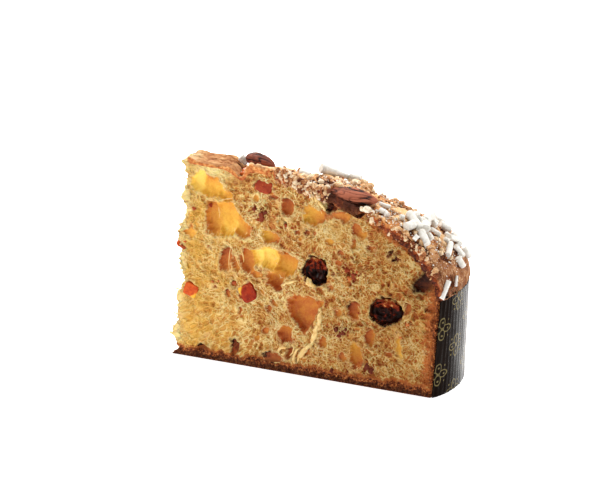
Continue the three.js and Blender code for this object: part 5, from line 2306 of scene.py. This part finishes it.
@dataclass
class Scatter:
    """Small lumps strewn over the glaze, thicker where their places are listed."""

    form: GlazeForm
    name: str
    slot: str
    finish: Finish
    count: int
    smallest: float
    largest: float
    seed: int
    rows: int = 4
    columns: int = 7
    sink: float = 0.1
    rough: float = 0.35
    centres: tuple[tuple[float, float, float], ...] = ()
    start: float = 46.0
    stop: float = 20.0
    gathered: float = 0.5

    def places(self, rng: np.random.Generator) -> tuple[Array, Array]:
        """Draw places evenly over the crust, or round the listed centres by a normal law.

        Args:
            rng: The source of chance.

        Returns:
            Arc and share across of each lump.
        """
        arc = rng.uniform(self.start, self.form.length - self.stop, self.count)
        share = rng.uniform(0.01, 0.99, self.count)
        if self.centres:
            picked = rng.integers(0, len(self.centres), self.count)
            centre = np.array(self.centres)[picked]
            near_arc = centre[:, 0] + rng.normal(0.0, 1.0, self.count) * centre[:, 2]
            near_in = np.abs(centre[:, 1] + rng.normal(0.0, 1.0, self.count) * centre[:, 2])
            near = rng.uniform(size=self.count) < self.gathered
            arc = np.where(near, np.clip(near_arc, self.start, self.form.length - 3.0), arc)
            share = np.where(near, np.clip(self.form.across_at(arc, near_in), 0.005, 0.995), share)
        return arc, share

    def settle(self, middle: Array, normal: Array, rng: np.random.Generator) -> Array:
        """Let the lumps down onto the crust where it is broken away under the almond."""
        return middle - normal * WEDGE.bed_depth(middle[:, 0], middle[:, 1])[:, None]

    def build(self) -> Surface:
        """Set a roughened ball at each place, with sizes mostly near the smallest.

        Returns:
            The closed surface.
        """
        rng = np.random.default_rng(self.seed)
        globe = Globe(self.rows, self.columns)
        arc, share = self.places(rng)
        size = self.smallest + (self.largest - self.smallest) * rng.uniform(size=self.count) ** 3
        middle = self.form.point(arc, share)
        normal = self.form.normal(arc, share)
        middle = self.settle(middle, normal, rng)
        stretch = rng.uniform(0.6, 1.3, (self.count, 1, 3))
        spin = rng.normal(size=(self.count, 3, 3))
        spin = np.linalg.qr(spin)[0]
        spin = spin * np.sign(np.linalg.det(spin))[:, None, None]
        ball = globe.directions()[None] * stretch * 0.5 * size[:, None, None]
        local = np.einsum("sij,spj->spi", spin, ball)
        points = local + (middle + normal * (size * (0.5 - self.sink))[:, None])[:, None, :]
        points = points + shifts(points, 0.9, self.seed) * (self.rough * size)[:, None, None] * 0.5
        tint = np.repeat(rng.uniform(size=(self.count, 1)), points.shape[1], axis=1)
        return globe.scatter(points, tint=tint)

    def make(self) -> bpy.types.Object:
        """Strew the lumps."""
        return make_piece(self.name, self.build(), self.finish, self.slot)


@dataclass
class BreakRubble(Scatter):
    """Crumbs that stick to the glaze's broken edge in the front cut."""

    # arc of the middle, half spread along, how far below the skin it reaches, and share of the crumbs
    stretches: tuple[tuple[float, float, float, float], ...] = (
        (67.0, 9.0, 5.5, 0.34), (79.0, 8.0, 6.5, 0.34), (126.0, 16.0, 5.0, 0.20), (148.0, 8.0, 4.5, 0.12),
    )

    def places(self, rng: np.random.Generator) -> tuple[Array, Array]:
        """Draw places along the front edge, by the listed stretches."""
        rows = np.array(self.stretches)
        rows = rows[rng.choice(len(rows), self.count, p=rows[:, 3])]
        return rows[:, 0] + rows[:, 1] * rng.uniform(-1.0, 1.0, self.count), np.zeros(self.count)

    def settle(self, middle: Array, normal: Array, rng: np.random.Generator) -> Array:
        """Move the crumbs down the broken edge and a little into it.

        Args:
            middle: Places on the skin.
            normal: The skin's outward directions.
            rng: The source of chance.

        Returns:
            The moved places.
        """
        arcs, _, reach, _ = np.array(self.stretches).T
        along = self.form.point(arcs, 0 * arcs)[:, 0]
        down = np.interp(middle[:, 0], along, reach) * rng.uniform(0.02, 1.0, len(middle)) ** 1.4
        inward = rng.uniform(-0.3, 0.7, len(middle))
        return middle - normal * down[:, None] + np.array([0.0, 1.0, 0.0]) * inward[:, None]


@dataclass(frozen=True)
class GlazeCrumbFinish(Finish):
    """Granular tan knobs of baked glaze, some of them pale, some brown."""

    name: str = "glaze_knobs"
    gloss: Gloss = Gloss(0.8, 0.25)
    browned: float = 0.3

    def nodes(self, graph: Graph) -> dict:
        """Colour by each knob's own tint.

        Args:
            graph: The graph that the nodes go into.

        Returns:
            The shader's varying inputs by name.
        """
        place = graph.place()
        grain = SharedNodes.grain(graph, place, 1.1)
        level = grain * 1.2 + (graph.value("tint") - self.browned)
        colour = graph.ramp(
            level, (0.0, srgb(112, 56, 30)), (0.16, srgb(164, 94, 50)), (0.38, srgb(204, 150, 100)),
            (0.66, srgb(232, 198, 152)), (1.0, srgb(250, 238, 216)),
        )
        return {"Base Color": colour, "Normal": graph.bump(grain, 0.6, 0.9)}


@dataclass(frozen=True)
class Lump:
    """One larger knob: its place on the crust as arc, depth in and lift, its sizes and tint, in mm."""

    place: tuple[float, float, float]
    sizes: tuple[float, float, float]
    tint: float


# each row: place, sizes, tint
LUMPS = rows_of(Lump, (
    # the crumbled right end of the slab, behind the almond
    ((97.2, 27, 0.8), (4.2, 4.6, 3.8), 0.45), ((93, 27.6, 1.2), (5, 5.2, 3.6), 0.55),
    ((90, 22, 0.8), (4.4, 4.4, 3), 0.7), ((95, 21, 0.4), (3.6, 4, 3), 0.4),
    ((96.8, 16, 0.2), (3, 4.6, 2.8), 0.35), ((86.6, 28, 1.2), (5.4, 5, 3.2), 0.65),
    # the crumbly part at the left of the almond
    ((81, 2, -0.6), (3.6, 3, 3), 0.6), ((77.6, 1.2, -0.8), (3, 2.6, 2.6), 0.3),
    ((74, 0.8, -1.4), (2.8, 2, 2.6), 0.55), ((83.4, 4, -0.6), (3.2, 3, 2.6), 0.75),
    ((70.4, 0.6, -1.6), (3, 2, 2.4), 0.4), ((79, 5, 0), (3, 3.2, 2.2), 0.8),
    ((66, 2, -0.4), (3.4, 3, 2.2), 0.5), ((72, 7, 0.2), (3.4, 3.6, 2.2), 0.7),
    # the pale granular lump right of the almond
    ((108.6, 1.2, -0.2), (4.4, 3.6, 3), 0.9), ((111, 1.4, -0.6), (2.6, 2.4, 2.2), 0.85),
    ((106.6, 0.8, -1), (2.6, 2, 2.2), 0.8),
    # knobs against the background
    ((114.8, 28.6, 0.9), (2.8, 2.6, 2.8), 0.3), ((119.6, 26.4, 0.9), (2.6, 2.6, 2.6), 0.35),
    ((117, 27.4, 0.3), (2, 2.2, 1.6), 0.15),
    # at the lower edge of the sugar
    ((138.6, 3.6, 0.2), (2.8, 2.4, 2.2), 0.45), ((141.6, 1, 0), (2.2, 2, 1.8), 0.5),
    ((133, 5.6, 0.3), (2.2, 2.2, 1.6), 0.6), ((125.6, 5.4, 0.2), (2.4, 2.2, 1.6), 0.55),
    ((143.6, 18.6, 0.3), (3, 3, 1.8), 0.5), ((139.4, 15.8, 0.3), (2.6, 2.6, 1.8), 0.55),
    # the rear half, which the photograph doesn't show
    ((100, 39, 0.5), (4, 3.6, 2.6), 0.6), ((112, 40, 0.4), (3.2, 3, 2.2), 0.45),
    ((130, 40, 0.4), (3.4, 3.4, 2.4), 0.7), ((142, 40, 0.4), (3, 2.8, 2), 0.4),
    ((68, 24, 0.4), (3.6, 3.4, 2.4), 0.6),
))


@dataclass
class GlazeLumps:
    """The larger knobs of glaze, joined."""

    form: GlazeForm
    lumps: tuple[Lump, ...] = LUMPS
    mesh: Globe = Globe(34, 44)

    def build(self) -> Surface:
        """Set a rough granular ball at each place, with its height along the crust's normal.

        Returns:
            The closed surface.
        """
        globe = self.mesh
        place = np.array([lump.place for lump in self.lumps])
        sizes = np.array([lump.sizes for lump in self.lumps])
        across = self.form.across_at(place[:, 0], place[:, 1])
        up = self.form.normal(place[:, 0], across)
        middle = self.form.point(place[:, 0], across) + up * place[:, 2:]
        ahead = np.cross(np.array([0.0, 1.0, 0.0]), up)
        axes = frames_from(up, ahead)
        ball = globe.directions()[None] * 0.5 * sizes[:, None, :]
        points = np.einsum("sij,spj->spi", axes, ball) + middle[:, None, :]
        grains = Cells.grow(points, 1.1, 331)
        out = np.einsum("sij,spj->spi", axes, globe.directions()[None] / sizes[:, None, :])
        out = out / np.linalg.norm(out, axis=2, keepdims=True)
        push = 0.55 * layered_noise(points, 2.4, 332, 2) + 0.5 * (0.5 - grains.nearest)
        points = points + out * push[..., None]
        tint = np.repeat(np.array([lump.tint for lump in self.lumps])[:, None], points.shape[1], axis=1)
        return globe.scatter(points, tint=tint + 0.25 * (0.5 - grains.nearest))

    def make(self) -> bpy.types.Object:
        """Put the lumps on the glaze."""
        return make_piece("glaze_lumps", self.build(), GlazeCrumbFinish("glaze_lump_finish"), "glaze")


@dataclass(frozen=True)
class Bit:
    """One small candied bit in a cut, in mm: place on the cut, size, and tint from red to orange."""

    x: float
    z: float
    size: float
    tint: float


# each row: x, z, size, tint
FRONT_BITS = rows_of(Bit, (
    (48.2, 81.6, 3, 0.1), (51.6, 78.2, 3.6, 0.15), (50, 76.2, 2.2, 0.5), (53.4, 80.4, 2, 0),
    (97.6, 57.6, 3.2, 0.25), (100.8, 54.6, 3.8, 0.15), (102.6, 57, 2.4, 0.7), (99, 53.2, 2, 0.9),
    (92, 26.4, 2.8, 0), (95.2, 25, 3.2, 0.05), (93.4, 23.4, 2, 0.1), (96.8, 27.2, 1.8, 0),
    (108.6, 10.2, 3, 0), (110.6, 8.2, 2.6, 0), (14, 77.9, 2.3, 0.55), (7.2, 57.4, 2.6, 0.6),
    (36.3, 42.6, 2.4, 0.5), (129.1, 34.6, 1.8, 0.9), (23.4, 80.6, 1.8, 0.35), (89.6, 4.9, 2, 0),
    (46.4, 71.8, 1.4, 0.8), (64.8, 75.2, 1.5, 0.4), (125.6, 27.6, 1.4, 0.9), (103.6, 36.4, 1.2, 0.3),
    (27.8, 42.2, 1.5, 0.95), (24, 41.2, 1.3, 0.9),
))
REAR_BITS = rows_of(Bit, (
    (39, 61, 3.4, 0.2), (42, 58.8, 2.8, 0.5), (103, 77, 3.4, 0.1), (106, 74.4, 2.6, 0.3),
    (77, 28.6, 3, 0), (79.6, 26.6, 2.6, 0.6), (20, 40, 2.4, 0.7), (116, 14, 2.6, 0.2), (58, 88, 2.2, 0.8),
    (88, 64, 2, 0.4),
))


@dataclass(frozen=True)
class BitFinish(Finish):
    """Candied bits from dark purple-red to orange, sticky."""

    name: str = "candied_bits"
    gloss: Gloss = Gloss(0.5, 0.1, subsurface=0.1, scatter_mm=0.8)

    def nodes(self, graph: Graph) -> dict:
        """Colour by each bit's own tint.

        Args:
            graph: The graph that the nodes go into.

        Returns:
            The shader's varying inputs by name.
        """
        place = graph.place()
        mottle = graph.noise(place, 1.0, detail=4.0)
        level = graph.clip(graph.value("tint") + (mottle * 0.5 - 0.25))
        colour = graph.ramp(
            level, (0.0, srgb(104, 46, 30)), (0.3, srgb(144, 58, 30)), (0.6, srgb(168, 78, 42)),
            (1.0, srgb(196, 116, 62)),
        )
        return {"Base Color": colour, "Normal": graph.bump(mottle, 0.4, 0.6)}


@dataclass
class CandiedBits:
    """The small candied bits of both cuts, joined."""

    front: tuple[Bit, ...] = FRONT_BITS
    rear: tuple[Bit, ...] = REAR_BITS
    mesh: Globe = Globe(14, 18)
    sunk: float = 0.3

    def build(self) -> Surface:
        """Set a crumpled ball at each place, half sunk into the crumb.

        Returns:
            The closed surface.
        """
        globe = self.mesh
        bits = self.front + self.rear
        run, up = np.array([b.x for b in bits]), np.array([b.z for b in bits])
        size, tint = np.array([b.size for b in bits]), np.array([b.tint for b in bits])
        depth = 0.35 + self.sunk * size
        middle = np.stack([run, depth, up], axis=1)
        at_rear = np.arange(len(bits)) >= len(self.front)
        middle = np.where(at_rear[:, None], WEDGE.rear_point(run, depth, up), middle)
        stretch = np.random.default_rng(61).uniform(0.75, 1.25, (len(bits), 1, 3))
        points = middle[:, None, :] + globe.directions()[None] * stretch * 0.5 * size[:, None, None]
        push = 0.3 * shifts(points, 0.9, 620) + 0.3 * shifts(points, 2.0, 630)
        points = points + push * size[:, None, None] * 0.6
        return globe.scatter(points, tint=np.repeat(tint[:, None], points.shape[1], axis=1))

    def make(self) -> bpy.types.Object:
        """Put the bits into the cuts."""
        return make_piece("candied_bits", self.build(), BitFinish(), "orange_peel")


@dataclass(frozen=True)
class MottledFinish(Finish):
    """Two colours that one noise mixes: the noise's size and detail, both stops, and the bump's depth."""

    size: float = 2.0
    detail: float = 4.0
    dark: tuple[float, Colour] = (0.3, srgb(216, 172, 98))
    light: tuple[float, Colour] = (0.6, srgb(236, 206, 140))
    depth: float = 0.3

    def nodes(self, graph: Graph) -> dict:
        """Colour and bump by the same mottle."""
        mottle = graph.noise(graph.place(), self.size, detail=self.detail)
        colour = graph.ramp(mottle, self.dark, self.light)
        return {"Base Color": colour, "Normal": graph.bump(mottle, self.depth, 0.5)}


PALE_SHREDS = MottledFinish(
    "crumb_shreds", Gloss(0.6, 0.3, subsurface=0.25, scatter=(1.0, 0.6, 0.25), scatter_mm=1.0)
)
AMBER_CARAMEL = MottledFinish(
    "amber_caramel",
    Gloss(0.3, 0.3, coat=0.06, subsurface=0.2, scatter=(1.0, 0.4, 0.1), scatter_mm=1.5),
    2.2, 3.0, (0.3, srgb(150, 60, 18)), (0.65, srgb(212, 118, 40)), 0.4,
)


@dataclass(frozen=True)
class Strand:
    """One named shred on the front cut: both ends x, z and its width, in mm, and how far it bows out."""

    start: tuple[float, float]
    end: tuple[float, float]
    width: float
    depth: float = 0.4
    bow: float = 0.0


# each row: start, end, width, depth, bow
FRONT_STRANDS = rows_of(Strand, (
    # the thin skin between the two upper holes
    ((21.6, 83.2), (29.2, 83.5), 0.5, 0.5, -0.1), ((28.6, 83.5), (37, 85.4), 0.5, 0.6, 0.12),
    # webs in the hollow at the left of the middle
    ((33.6, 47.6), (34.4, 60.4), 0.5, 0.8, 0.12), ((36, 59.6), (39.6, 50.4), 0.45, 1, -0.1),
    ((40.4, 60.8), (41.8, 53.6), 0.6, 0.5, 0.1),
    # the lump and flap near the floor
    ((60.2, 9.6), (65.6, 13.6), 1.7, 0, 0.5), ((61.4, 8.6), (64.4, 10.8), 1.2, 0.2, -0.4),
    ((69.4, 5), (72.2, 14.2), 1.5, -0.1, 0.3), ((66.8, 9), (68.8, 15.6), 0.8, 0.2, -0.5),
    # the yellow foam that covers the left cherry's lower left
    ((76, 50.2), (79.2, 48.2), 2.4, -0.1, 0.2), ((78.2, 49), (81.2, 46.6), 2.2, -0.2, -0.2),
    ((76.2, 48.2), (79, 46.4), 2, 0.1, 0.1),
    # bright walls right of the pointed hole and the large one
    ((83.4, 37), (82, 24), 2.4, 0.9, 0.1), ((82.4, 28.4), (78.2, 14.6), 3.2, 1, -0.06),
    ((79.8, 18.6), (70.4, 6.8), 2.4, 0.7, -0.06), ((62, 44.6), (71.4, 48.4), 1.5, 0.4, 0.1),
    # torn crumb that hangs from the glaze left of the almond
    ((77.4, 97), (79.8, 88.4), 1.2, 0.1, 0.1), ((79.8, 96), (81.8, 88), 1.1, 0.3, -0.1),
    ((81, 90.6), (86.4, 84.8), 1.3, 0.4, 0.1),
))


@dataclass
class CrumbShreds:
    """Shreds of torn crumb: the named ones, some at the rims of the holes, and fuzz on the torn tip."""

    strands: tuple[Strand, ...] = FRONT_STRANDS
    mesh: Globe = Globe(10, 7)
    rim_shreds: int = 130
    tip_shreds: int = 260
    seed: int = 77

    def ends(self, rng: np.random.Generator) -> tuple[Array, Array, Array, Array]:
        """Both ends, width and bow of every shred.

        Rim shreds start on a hole's outline and lean into it. Tip shreds stand out of the torn
        edge, mostly leftwards.

        Args:
            rng: The source of chance.

        Returns:
            Starts and ends, shape (n, 3), widths and bows, shape (n).
        """
        start = [np.array([(s.start[0], s.depth, s.start[1]) for s in self.strands])]
        end = [np.array([(s.end[0], s.depth, s.end[1]) for s in self.strands])]
        width = [np.array([s.width for s in self.strands])]
        bow = [np.array([s.bow for s in self.strands])]
        for hollows, rear in ((FRONT_HOLLOWS, False), (REAR_HOLLOWS, True)):
            big = [h for h in hollows if min(h.half_width, h.half_height) > 1.6 and h.tone < 0.9]
            pick = rng.integers(0, len(big), self.rim_shreds // 2)
            hole = np.array([(h.x, h.z, h.half_width, h.half_height) for h in big])[pick]
            turn = rng.uniform(0.0, 2.0 * math.pi, len(pick))
            ring = np.stack([hole[:, 2] * np.cos(turn), hole[:, 3] * np.sin(turn)], axis=1)
            low = hole[:, :2] + ring * rng.uniform(0.98, 1.1, (len(pick), 1))
            slide = turn + rng.uniform(0.15, 0.55, len(pick)) * rng.choice([-1.0, 1.0], len(pick))
            ring = np.stack([hole[:, 2] * np.cos(slide), hole[:, 3] * np.sin(slide)], axis=1)
            high = hole[:, :2] + ring * rng.uniform(0.82, 1.02, (len(pick), 1))
            reach = np.minimum(1.0, 4.0 / np.linalg.norm(high - low, axis=1))[:, None]
            high = low + (high - low) * reach
            depths = rng.uniform(0.1, 0.9, (2, len(pick)))
            if rear:
                start.append(WEDGE.rear_point(low[:, 0], depths[0], low[:, 1]))
                end.append(WEDGE.rear_point(high[:, 0], depths[1], high[:, 1]))
            else:
                start.append(np.stack([low[:, 0], depths[0], low[:, 1]], axis=1))
                end.append(np.stack([high[:, 0], depths[1], high[:, 1]], axis=1))
            width.append(rng.uniform(0.2, 0.42, len(pick)))
            bow.append(rng.uniform(-0.5, 0.5, len(pick)))
        z = rng.uniform(3.0, 101.0, self.tip_shreds)
        share = rng.uniform(0.0, 1.0, self.tip_shreds)
        root = WEDGE.tip_point(share, z)
        root = np.stack([root[:, 0] + rng.uniform(0.2, 2.0, len(z)), root[:, 1], z], axis=1)
        heading = rng.normal((-1.0, 0.0, 0.15), (0.4, 0.35, 0.5), (self.tip_shreds, 3))
        start.append(root)
        end.append(root + heading * rng.uniform(0.8, 3.2, (self.tip_shreds, 1)))
        width.append(rng.uniform(0.25, 0.75, self.tip_shreds))
        bow.append(rng.uniform(-0.6, 0.6, self.tip_shreds))
        return tuple(np.concatenate(part) for part in (start, end, width, bow))

    def build(self) -> Surface:
        """Draw each shred as a bent spindle, thickest in its middle, roughened by noise.

        Returns:
            The closed surface.
        """
        start, end, width, bow = self.ends(np.random.default_rng(self.seed))
        globe = self.mesh
        run = end - start
        length = np.linalg.norm(run, axis=1, keepdims=True)
        ahead = run / length
        side = np.cross(ahead, np.array([0.0, 1.0, 0.0]))
        side = side / (np.linalg.norm(side, axis=1, keepdims=True) + 1e-6)
        third = np.cross(ahead, side)
        u, angle = globe.u[None, :, None], (2.0 * math.pi * globe.v)[None, :, None]
        thick = 0.5 * width[:, None, None] * np.sin(math.pi * u) ** 0.45
        points = start[:, None] + run[:, None] * u
        points = points + side[:, None] * thick * np.cos(angle)
        points = points + third[:, None] * thick * np.sin(angle) * 0.7
        bowed = bow[:, None, None] * np.sin(math.pi * u) * length[:, :, None] * 0.4
        points = points + side[:, None] * bowed
        push = 0.22 * shifts(points, 0.8, 701)
        return globe.scatter(points + push * np.minimum(width, 2.4)[:, None, None] * 1.6)

    def make(self) -> bpy.types.Object:
        """Put the shreds on the crumb."""
        return make_piece("crumb_shreds", self.build(), PALE_SHREDS, "crumb")


@dataclass
class NotchCaramel:
    """Drops of caramel in the notch, under the almond."""

    mesh: Globe = Globe(20, 26)
    drops: tuple[tuple[float, float, float, float], ...] = (
        (41.2, 7.4, 98.4, 3.2), (43.6, 9.6, 99.2, 3.6), (46.8, 9, 99.4, 3), (40.6, 4.6, 97.4, 2.2),
    )

    def build(self) -> Surface:
        """Sink a smooth uneven ball at each place.

        Returns:
            The closed surface.
        """
        globe = self.mesh
        drops = np.array(self.drops)
        balls = globe.directions()[None] * drops[:, 3, None, None] * np.array([1, 1.1, 0.62])
        points = drops[:, None, :3] + balls
        return globe.scatter(points + 0.5 * shifts(points, 2.6, 801))

    def make(self) -> bpy.types.Object:
        """Put the drops into the notch."""
        return make_piece("notch_caramel", self.build(), AMBER_CARAMEL, "glaze")


# ---------------------------------------------------------------- studio


@dataclass(frozen=True)
class SoftLight:
    """A square soft light: where it stands, what it faces, its size and its power."""

    name: str
    place: tuple[float, float, float]
    size: float
    power: float
    tint: tuple[float, float, float] = (1.0, 1.0, 1.0)
    target: tuple[float, float, float] = (0.0, 0.0, 0.05)

    def make(self) -> bpy.types.Object:
        """Hang the light and turn its face to the target.

        Returns:
            The light.
        """
        lamp = bpy.data.lights.new(self.name, "AREA")
        lamp.shape = "SQUARE"
        lamp.size = self.size
        lamp.energy = self.power
        lamp.color = self.tint
        light = bpy.data.objects.new(self.name, lamp)
        bpy.context.scene.collection.objects.link(light)
        light.location = self.place
        aim = np.array(self.target) - np.array(self.place)
        across = math.hypot(aim[0], aim[1])
        light.rotation_euler = (math.atan2(across, -aim[2]), 0.0, math.atan2(-aim[0], aim[1]))
        return light


@dataclass(frozen=True)
class FloorFinish(Finish):
    """A plain white sweep that goes pure white under the studio light."""

    name: str = "white_floor"
    gloss: Gloss = Gloss(0.9, 0.1, glow=0.72)

    def nodes(self, graph: Graph) -> dict:
        """Nearly even white with a faint unevenness.

        Args:
            graph: The graph that the nodes go into.

        Returns:
            The shader's varying inputs by name.
        """
        patch = graph.noise(graph.place(), 60.0, detail=1.0)
        return {
            "Base Color": graph.mix(patch, (0.94, 0.94, 0.94, 1.0), (0.96, 0.96, 0.96, 1.0)),
            "Emission Color": graph.mix(patch, (0.98, 0.98, 0.98, 1.0), (1.0, 1.0, 1.0, 1.0)),
        }


@dataclass
class Studio:
    """Camera, white floor, pale world and soft lights."""

    lens_mm: float = 100.0
    camera_place: tuple[float, float, float] = (0.32306816, -0.70996722, 0.28980519)
    camera_tilt: float = 74.0
    camera_turn: float = 26.25
    floor_half: float = 6.0
    world_light: float = 0.3
    lights: tuple[SoftLight, ...] = (
        SoftLight("key_left", (-0.75, -0.55, 0.62), 0.35, 4.6, (1.0, 0.985, 0.96)),
        SoftLight("back_left", (-0.55, 0.45, 0.55), 0.5, 6.0, (1.0, 0.97, 0.92)),
        SoftLight("overhead", (0.05, 0.25, 0.95), 0.6, 9.0, (1.0, 0.99, 0.97)),
        SoftLight("side_right", (0.75, 0.5, 0.32), 0.22, 3.0, (1.0, 1.0, 1.0)),
    )

    def camera(self) -> bpy.types.Object:
        """Place the camera at the photograph's viewing angle.

        Returns:
            The camera.
        """
        lens = bpy.data.cameras.new("camera")
        lens.lens = self.lens_mm
        lens.sensor_width = 36.0
        lens.clip_start = 0.01
        camera = bpy.data.objects.new("camera", lens)
        camera.location = self.camera_place
        camera.rotation_euler = (math.radians(self.camera_tilt), 0.0, math.radians(self.camera_turn))
        bpy.context.scene.collection.objects.link(camera)
        bpy.context.scene.camera = camera
        return camera

    def floor(self) -> bpy.types.Object:
        """Lay the floor just under the slice.

        Returns:
            The floor.
        """
        half, low = self.floor_half, -0.0002
        corners = [(-half, -half, low), (half, -half, low), (half, half, low), (-half, half, low)]
        mesh = bpy.data.meshes.new("studio_floor")
        mesh.from_pydata(corners, [], [(0, 1, 2, 3)])
        mesh.materials.append(FloorFinish().material())
        floor = bpy.data.objects.new("studio_floor", mesh)
        bpy.context.scene.collection.objects.link(floor)
        return floor

    def make(self) -> None:
        """Set up the whole studio with a plain view of colours."""
        self.camera()
        self.floor()
        for light in self.lights:
            light.make()
        world = bpy.data.worlds.new("pale_world")
        world.use_nodes = True
        background = world.node_tree.nodes["Background"]
        background.inputs["Color"].default_value = (1.0, 1.0, 1.0, 1.0)
        background.inputs["Strength"].default_value = self.world_light
        bpy.context.scene.world = world
        bpy.context.scene.view_settings.view_transform = "Standard"
        bpy.context.scene.view_settings.look = "None"


# ---------------------------------------------------------------- assembly


DARK_ALMOND = AlmondFinish("dark_roasted_almond", light=srgb(128, 62, 40), middle=srgb(96, 42, 27))
ALMONDS = (
    Almond("almond_shoulder", "almond_edge", (12.8, 6.6, 4.2), -3.0, 5.0, 31),
    Almond("almond_behind_notch", "almond_notch", (8.8, 5.4, 3.7), -14.0, 10.0, 41, DARK_ALMOND),
)
CHERRIES = (
    Cherry("cherry_left_flesh", "cherry_left", 51),
    Cherry("cherry_right_flesh", "cherry_right", 53),
    Cherry("cherry_rear_flesh", "cherry_rear", 57, rear=True),
)
DEEP_PEEL = PeelFinish("deep_red_peel", flesh=srgb(160, 50, 22), shade=srgb(122, 28, 13))
BRIGHT_PEEL = PeelFinish("bright_orange_peel", flesh=srgb(208, 94, 36), shade=srgb(180, 64, 26))
BROWN_PEEL = PeelFinish("brown_orange_peel", flesh=srgb(160, 64, 34), shade=srgb(130, 42, 24))
PEELS = (
    Peel("peel_top_cube", "orange_peel_top", -24.0, 81, BROWN_PEEL, boxy=0.85, ragged=0.05),
    Peel("peel_middle_cube", "orange_peel_middle", 30.0, 83, DEEP_PEEL, rind=140.0),
    Peel("peel_left_cube", "orange_peel_left", -20.0, 85, BRIGHT_PEEL, rind=-40.0),
    Peel("peel_tip_cube", "orange_peel_tip", 8.0, 87, BRIGHT_PEEL, ragged=0.3),
    Peel("peel_rear_cube", "orange_peel_rear", -30.0, 89, DEEP_PEEL, rind=60.0),
)


def strewings(form: GlazeForm) -> tuple[Scatter, ...]:
    """The lumps strewn on the glaze: sugar grains, glaze knobs and fine crumbs.

    Args:
        form: The glaze that they lie on.

    Returns:
        The sub-assemblies.
    """
    sticky = ((80, 14, 8), (88, 24, 5), (112, 6, 5), (124, 8, 6), (132, 13, 7), (146, 15, 6))
    grit, rubble = GlazeCrumbFinish("glaze_grit_finish"), GlazeCrumbFinish("rubble_finish", browned=0.5)
    sugar, knobs = SugarFinish(), GlazeCrumbFinish()
    return (
        Scatter(form, "sugar_grains", "sugar", sugar, 650, 0.35, 1.1, 91, centres=sticky, gathered=0.8),
        Scatter(form, "glaze_knobs", "glaze", knobs, 240, 0.8, 2.2, 93, 7, 10, 0.3, 0.5, sticky),
        Scatter(form, "glaze_grit", "glaze", grit, 1300, 0.35, 0.9, 95, sink=0.3),
        BreakRubble(form, "break_rubble", "glaze", rubble, 520, 0.7, 3.0, 97, 8, 11, 0.4, 0.5),
    )


def main() -> None:
    """Build every sub-assembly in order and report each piece."""
    logging.basicConfig(level=logging.INFO, format="%(name)s %(message)s")
    Studio().make()
    CrumbBody().make()
    form = GlazeForm()
    GlazeCrust(form).make()
    PaperBand().make()
    for almond in ALMONDS:
        almond.make()
    for cherry in CHERRIES:
        cherry.make()
    for peel in PEELS:
        peel.make()
    GlazeLumps(form).make()
    SugarSticks(form).make()
    for strewn in strewings(form):
        strewn.make()
    CandiedBits().make()
    CrumbShreds().make()
    NotchCaramel().make()


if __name__ == "__main__":
    main()
